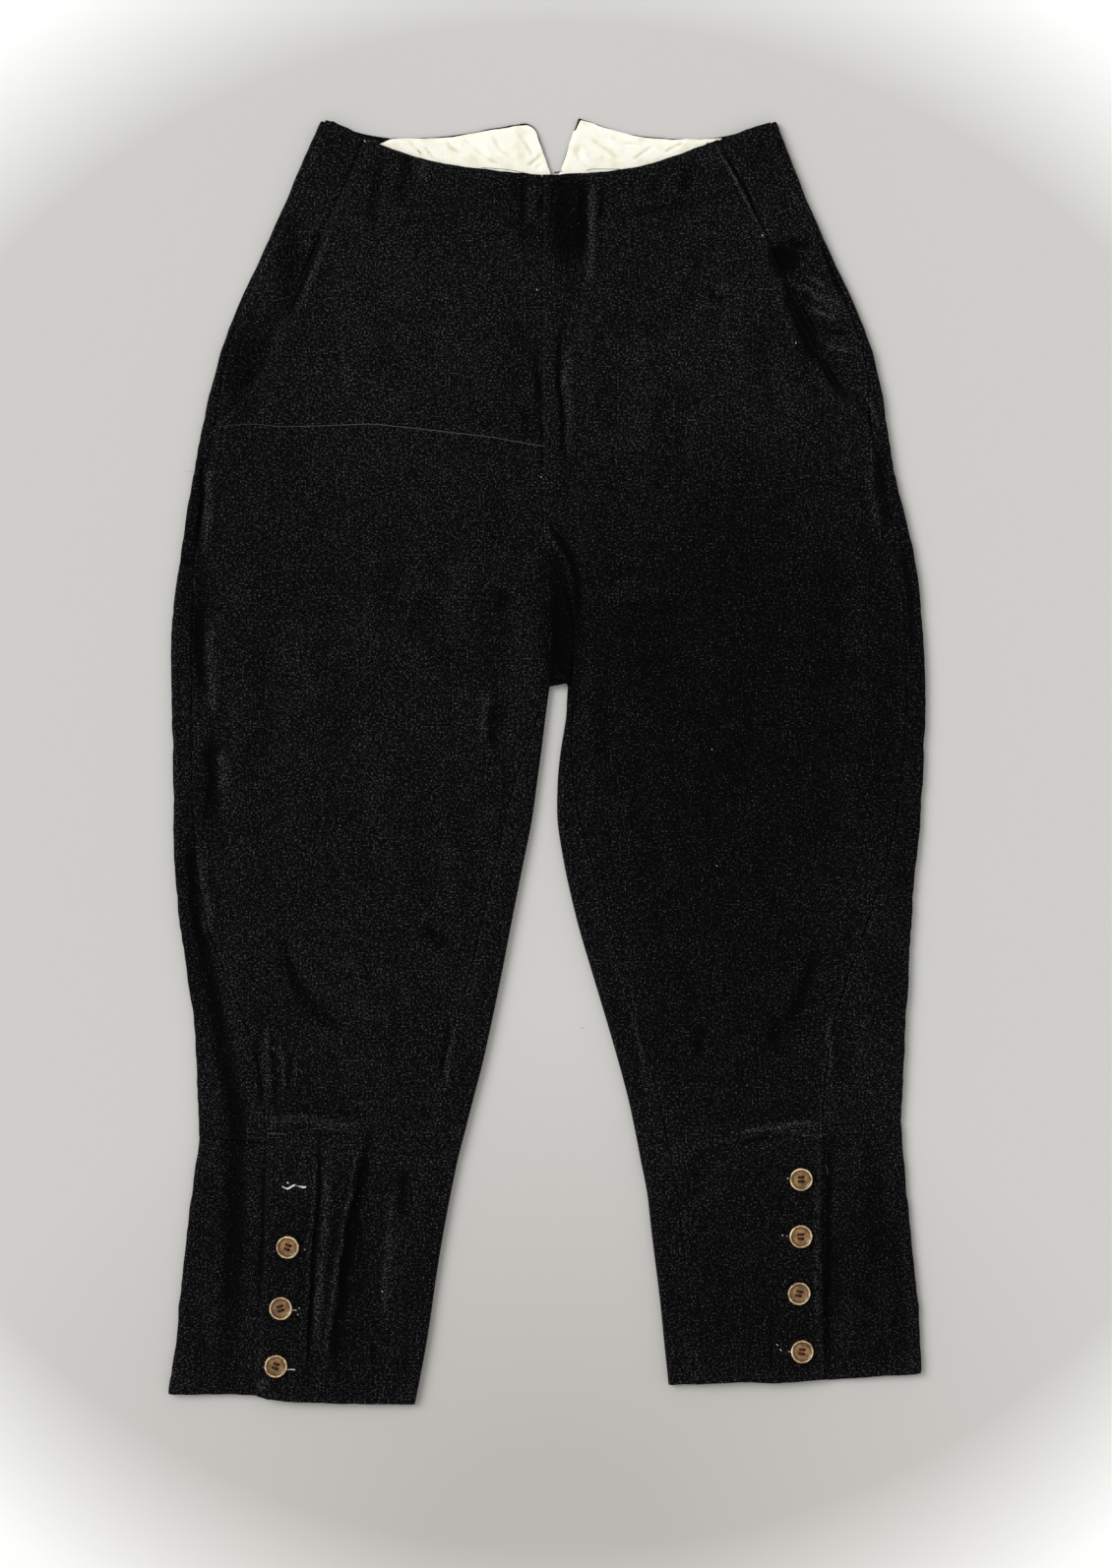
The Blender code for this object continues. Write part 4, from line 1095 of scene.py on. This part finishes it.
BUTTON_NUT = corozo("polished_corozo")
DARK_THREAD = thread("dark_red_brown_thread", "#260B07", 0.6)
BLANK = turned_button()
for name, (spot, height, turn, tips) in BUTTONS.items():
    pose = Matrix.Translation((spot[0] * MM, spot[1] * MM, height * MM))
    for angle, axis in ((tips[0], "X"), (tips[1], "Y"), (turn, "Z")):
        pose = pose @ Matrix.Rotation(math.radians(angle), 4, axis)
    bm = bmesh.new()
    bm.from_mesh(BLANK)
    rings = bm.loops.layers.uv.new("turning")
    for face in bm.faces:
        for loop in face.loops:
            out = math.hypot(loop.vert.co.x, loop.vert.co.y) / (BUTTON_WIDE / 2 * MM)
            loop[rings].uv = (out, math.atan2(loop.vert.co.y, loop.vert.co.x))
    bmesh.ops.transform(bm, matrix=pose, verts=bm.verts)
    button = placed(f"{name}_turned", finished(bm, f"{name}_turned"), BUTTON_NUT)
    button.data.set_sharp_from_angle(angle=math.radians(40))
    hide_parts(name)
    bars = []
    for across in (-0.5, 0.5):
        for k in (-1.5, -0.5, 0.5, 1.5):
            lean = 0.15 * math.sin(7 * k + spot[1])
            arch = [Vector((across * HOLE_APART + 0.4 * k + lean * up, up * (HOLE_APART / 2 + 0.35),
                            2.25 - 1.7 * abs(up) ** 3)) for up in (-1, -0.8, -0.4, 0, 0.4, 0.8, 1)]
            bars.append(([(place, 1.0) for place in arch], BAR_RADIUS))
    sewn(f"{name}_thread", bars, DARK_THREAD, pose)

# Topstitching and buttonholes
# The edges are stitched by machine in black thread: the pocket mouths, the fly, the waist, the opening of
# each knee band and its hem. The buttonholes are worked by hand in close stitches, and their ends have worn.
STITCH = 2.6  # length of a machine stitch
STITCH_GAP = 0.7
THREAD_RADIUS = 0.2
EDGE_STRAND = 0.28  # radius of the buttonholes' thicker thread
BLACK_THREAD = thread("black_sewing_thread", "#030303", 0.95)
PALE_THREAD = thread("worn_pale_thread", "#E4E2DC", 0.8)
GREY_THREAD = thread("grey_fibre", "#5E5C60", 0.9)
cover = bmesh.new()
for obj in bpy.context.scene.objects:
    if obj.type == "MESH" and obj.data.materials and obj.data.materials[0] in (BLACK_CLOTH, LINING_COTTON):
        cover.from_mesh(obj.data)
COVER_TREE = BVHTree.FromBMesh(cover)
cover.free()


def on_cloth(x, y, above=0.0):
    """The place on the uppermost cloth below a point, or above it by a little."""
    depth = COVER_TREE.ray_cast(Vector((x, y, 40)) * MM, Vector((0, 0, -1)))[3]
    return Vector((x, y, (40 - depth / MM if depth is not None else 0.5) + above))


def stepped(path, step):
    """Places at even steps along a path."""
    points = np.array(path, float)
    lengths = np.hypot(*np.diff(points, axis=0).T)
    reached = np.concatenate([[0], np.cumsum(lengths)])
    at = np.linspace(0, reached[-1], max(2, round(reached[-1] / step) + 1))
    return np.stack([np.interp(at, reached, points[:, 0]), np.interp(at, reached, points[:, 1])], 1)


def stitch_row(lengths, path, seed=0):
    """A row of machine stitches that lie in the nap and dive at their ends."""
    rng = np.random.default_rng(seed)
    places = stepped(path, STITCH + STITCH_GAP)
    share = STITCH / (STITCH + STITCH_GAP)
    for (x0, y0), (x1, y1) in zip(places, places[1:]):
        stray = rng.uniform(-0.12, 0.12, 2)
        start = on_cloth(x0, y0 + stray[0])
        strand(lengths, start, on_cloth(mix(x0, x1, share), mix(y0, y1, share) + stray[1]), THREAD_RADIUS)


def loose_thread(lengths, path, radius, above=0.2):
    """A thread that lies on the cloth along a path."""
    lengths.append(([(on_cloth(x, y, above), 1.0) for x, y in stepped(path, 1.0)], radius))


def edge_path(piece, edge, inset, low, high):
    """A path beside an edge of an open piece, from one place along that edge to another."""
    points = np.array([v.co[:2] for v in bpy.data.objects[piece].data.vertices]) / MM
    along, across = (1, 0) if edge in ("left", "right") else (0, 1)
    sign = 1 if edge in ("left", "bottom") else -1
    path = []
    for place in np.arange(low, high, 4.0):
        near = points[np.abs(points[:, along] - place) < 2.6][:, across] * sign
        if len(near):
            spot = (near.min() + inset) * sign
            path.append((spot, place) if along else (place, spot))
    return path


# Piece, its edge, how far in from that edge, and where the row starts and ends along it.
ROWS = {
    "right": (
        ("front_panel", "left", 1.7, 226, 414), ("front_panel", "left", 7.5, 240, 412),
        ("front_panel", "top", 2.2, -108, -6), ("knee_band_front", "left", 2.0, -420, -262),
        ("knee_band_front", "left", 22.0, -418, -262), ("knee_band_front", "top", 2.0, -182, -90),
        ("knee_band_front", "bottom", 4.0, -188, -118),
    ),
    "left": (
        ("front_panel", "right", 1.7, 226, 412), ("front_panel", "right", 7.5, 240, 410),
        ("front_panel", "top", 2.2, -1, 102), ("front_panel", "left", 1.8, 190, 388),
        ("knee_band_front", "right", 2.0, -410, -252), ("knee_band_front", "right", 34.0, -408, -374),
        ("knee_band_front", "top", 2.0, 86, 182), ("knee_band_front", "bottom", 4.0, 104, 182),
    ),
}
FLY_ROW = ((33, 389), (33.5, 340), (32.5, 300), (29, 262), (23, 228), (14, 203), (4, 191))
FACING_ROW = ((57, 366), (87, 372), (119, 380))
for side_name in HANDS:
    lengths = []
    for seed, (piece, edge, inset, low, high) in enumerate(ROWS[side_name]):
        stitch_row(lengths, edge_path(f"{side_name}_{piece}", edge, inset, low, high), seed)
    if side_name == "left":
        stitch_row(lengths, FLY_ROW, 20)
        stitch_row(lengths, FACING_ROW, 21)
    sewn(f"{side_name}_topstitching", lengths, BLACK_THREAD)

# Middle of each buttonhole and the way that it runs from the opening of the band.
BUTTONHOLES = (
    ((-169.5, -283.6), 1), ((-170, -325), 1), ((-175, -366.5), 1), ((-178, -404.6), 1),
    ((166, -279), -1), ((166, -317.8), -1), ((165, -356.8), -1), ((167, -395.4), -1),
)
HALF_HOLE = 9.0
lengths = []
for (x, y), way in BUTTONHOLES:
    for place in np.arange(-HALF_HOLE, HALF_HOLE + 0.1, 0.7):
        for side in (-1, 1):
            strand(lengths, on_cloth(x + place, y + side * 0.45, 0.05),
                   on_cloth(x + place + 0.1, y + side * 2.0), EDGE_STRAND)
    for turn in np.linspace(-1.2, 1.2, 6):
        end = x + way * (HALF_HOLE + 0.5)
        tip = on_cloth(end + way * 1.6 * math.cos(turn), y + 1.8 * math.sin(turn))
        strand(lengths, on_cloth(end, y, 0.1), tip, EDGE_STRAND)
    for side in (-0.5, 0.5):
        loose_thread(lengths, ((x - HALF_HOLE, y + side), (x + HALF_HOLE, y + side)), THREAD_RADIUS, 0.1)
sewn("buttonhole_stitching", lengths, BLACK_THREAD)

# Where the black thread has worn through, its pale cotton core shows. The long one is in the empty
# buttonhole, whose button is lost, and the short ones are at the ends of the others and in the nap.
WORN_THREADS = (
    (0.3, ((-177.0, -283.6), (-175.8, -284.7), (-174.6, -285.2))),
    (0.42, ((-174.8, -285.1), (-173.2, -285.3), (-171.6, -284.4), (-169.8, -283.2), (-168.4, -282.8))),
    (0.3, ((-173.8, -285.8), (-172.0, -285.2), (-170.4, -284.0), (-168.8, -283.3))),
    (0.13, ((-168.4, -282.9), (-167.0, -283.5), (-165.8, -283.7))),
    (0.34, ((-165.8, -284.0), (-164.2, -283.9), (-162.4, -284.2), (-161.0, -284.1))),
    (0.24, ((-164.4, -284.6), (-162.6, -284.8), (-161.4, -284.6))),
    (0.36, ((-173.9, -281.2), (-173.0, -281.3))), (0.24, ((-173.4, -281.6), (-172.8, -282.0))),
    (0.22, ((-170.3, -366.5), (-167.4, -366.6))), (0.2, ((-166.0, -364.8), (-165.4, -365.6))),
    (0.2, ((-166.8, -369.2), (-166.4, -370.0))),
    (0.28, ((-174.6, -406.4), (-171.0, -406.2), (-168.4, -406.4))),
    (0.16, ((-162.4, -326.0), (-161.6, -326.3))), (0.24, ((160.4, -278.4), (161.4, -278.8))),
    (0.26, ((157.0, -316.6), (157.8, -316.8))), (0.2, ((160.2, -317.2), (160.9, -317.3))),
    (0.22, ((153.4, -389.6), (154.4, -390.4))), (0.22, ((155.8, -392.8), (156.6, -393.8))),
    (0.18, ((161.2, -394.4), (162.2, -394.6))), (0.22, ((-122.4, 416.0), (-121.4, 414.6))),
    (0.2, ((143.6, 352.4), (144.4, 351.6))), (0.28, ((-7.1, 315.9), (-6.5, 315.5))),
    (0.26, ((-4.3, 190.6), (-3.6, 190.2))), (0.2, ((166.1, 280.6), (166.5, 279.6))),
    (0.2, ((110.2, 8.7), (110.3, 7.9))), (0.2, ((113.3, -69.4), (113.8, -69.8))),
    (0.22, ((-110.4, -353.8), (-110.0, -354.4))),
    (0.15, ((-243.6, 195.8), (-240.6, 195.2), (-237.6, 195.0))),
)
lengths = []
for radius, path in WORN_THREADS:
    loose_thread(lengths, path, radius, 0.3)
sewn("worn_thread_ends", lengths, PALE_THREAD)

# A long grey thread clings to the right front below the fly, and short fibres have come out of the nap,
# most of them along the seams and on the bands.
CLINGING_THREAD = (
    (-225, 224), (-198, 226), (-177, 224), (-150, 224.7), (-116, 226), (-105, 224.7), (-78.5, 222),
    (-35, 216.8), (-4.6, 211.2),
)
CLING_STEP = 7  # length over which its thickness changes, as it sinks into the nap and comes out
# Seams whose stitches have worn grey: on the left leg the pocket above its bar tack and the knee band.
WORN_SEAMS = (
    ((112, 413), (122, 395), (133, 373), (145, 352)),
    ((134, -250.5), (150, -247.5), (165, -245), (184, -243)),
    ((171, -250), (179, -250), (186, -249)),
    ((-165, -246), (-150, -245), (-128, -248)),
)
# Short grey bars at the tops of the knee bands' openings.
BAND_TACKS = (
    ((-187.2, -248.6), (-182.0, -248.4), (-175.0, -249.0)),
    ((186.4, -270), (187.6, -273), (187.8, -276)),
)
lengths = []
for x in range(-225, -5, CLING_STEP):
    run = [(place, np.interp(place, *zip(*CLINGING_THREAD))) for place in (x, x + CLING_STEP)]
    loose_thread(lengths, run, 0.04 + 0.13 * abs(math.sin(0.9 * x)) * min(1, (x + 225) / 120 + 0.1), 0.05)
for path in BAND_TACKS:
    loose_thread(lengths, path, 0.12, 0.1)
rng = np.random.default_rng(12)
# Where the short fibres lie: range of x, range of y, and how many there are.
REGIONS = (
    ((-185, -175), (-255, -175), 30), ((-190, -115), (-420, -260), 60), ((80, 180), (-415, -255), 60),
    ((-110, 120), (190, 380), 60), ((88, 130), (230, 320), 30), ((-200, 200), (-200, 200), 60),
    ((-190, -160), (-300, -262), 14), ((140, 184), (-252, -238), 16), ((195, 215), (-250, -150), 20),
)
for (x0, x1), (y0, y1), count in REGIONS:
    for x, y in zip(rng.uniform(x0, x1, count), rng.uniform(y0, y1, count)):
        turn, length = rng.normal(math.pi / 2, 0.5), rng.uniform(0.5, 1.6)
        tip = on_cloth(x + length * math.cos(turn), y + length * math.sin(turn), 0.08)
        strand(lengths, on_cloth(x, y, 0.08), tip, rng.uniform(0.08, 0.15))
for path in WORN_SEAMS:
    for x, y in stepped(path, 2.0):
        stray = rng.uniform(-0.5, 0.5, 3)
        tip = on_cloth(x + 1.2 + stray[0], y + stray[1], 0.1)
        strand(lengths, on_cloth(x, y + stray[2], 0.1), tip, rng.uniform(0.06, 0.2))
sewn("loose_fibres", lengths, GREY_THREAD)

# The lining is felled with a row of dark thread near the fronts' edge.
FELLING = (
    (0.15, ((-44, 398.2), (-33, 397.4), (-26.7, 396.9), (-19.8, 395.7), (-11.2, 393.9))),
    (0.15, ((26.4, 396.4), (29.7, 397.2), (48.8, 397.2))),
    (0.3, ((4.6, 395.4), (10.2, 395.8))),
)
lengths = []
for radius, path in FELLING:
    loose_thread(lengths, path, radius, 0.1)
sewn("lining_felling", lengths, BLACK_THREAD)

# Surface, light and camera
# The breeches lie on a plain pale surface and are lit softly from the upper left.
FRAME_TALL = 1052.0  # how much of the surface the picture shows from top to bottom
CAMERA_HEIGHT = 2200.0
VIEW_MIDDLE = (5.94, -14.85)
bm = bmesh.new()
bmesh.ops.create_grid(bm, x_segments=1, y_segments=1, size=3)
surface = shown("surface", finished(bm, "surface"))
paper, tree, shader = new_material("matt_pale_board", {"Roughness": 0.95, "Specular IOR Level": 0.1})
place = add(tree, "ShaderNodeTexCoord").outputs["Object"]
# Painted light: the board is painted paler towards its far edges and a little darker in front of the hems,
# for the uneven fall of the room's light.
falls = []
for shift, size in (((-0.008, 0.02, 0), (1.25, 1.25, 1)), ((0, 1.45, 0), (2.4, 2.7, 1))):
    spot = add(tree, "ShaderNodeMapping", {"Location": shift, "Scale": size}, {"Vector": place})
    falls.append(add(tree, "ShaderNodeTexGradient", {"gradient_type": "SPHERICAL"},
                     {"Vector": spot.outputs["Vector"]}).outputs["Fac"])
plain = ramp(tree, falls[0], ((0.22, "#FFFFFF"), (0.36, "#CCCBC9")))
dim = ramp(tree, falls[1], ((0.0, "#FFFFFF"), (0.8, "#E7E5E2")))
board = add(tree, "ShaderNodeMix", {"data_type": "RGBA", "blend_type": "MULTIPLY", "Factor": 1.0},
            {"A": plain, "B": dim})
tree.links.new(board.outputs["Result"], shader.inputs["Base Color"])
surface.data.materials.append(paper)

lamp = shown("window", bpy.data.lights.new("window", "SUN"))
lamp.data.energy = 2.0
lamp.data.angle = math.radians(35)
lamp.rotation_euler = (-Vector((-1.3, 0.7, 1.3))).to_track_quat("-Z", "Y").to_euler()
world = bpy.data.worlds.new("room")
world.use_nodes = True
sky = world.node_tree.nodes["Background"].inputs
sky["Color"].default_value = linear("#FDFDFA")
sky["Strength"].default_value = 0.62
bpy.context.scene.world = world
bpy.context.scene.view_settings.view_transform = "Standard"

SENSOR = 36
camera = shown("camera", bpy.data.cameras.new("camera"))
camera.data.sensor_width = SENSOR
camera.data.lens = SENSOR / 2 / (FRAME_TALL / 2 / CAMERA_HEIGHT)
camera.location = (VIEW_MIDDLE[0] * MM, VIEW_MIDDLE[1] * MM, CAMERA_HEIGHT * MM)
bpy.context.scene.camera = camera
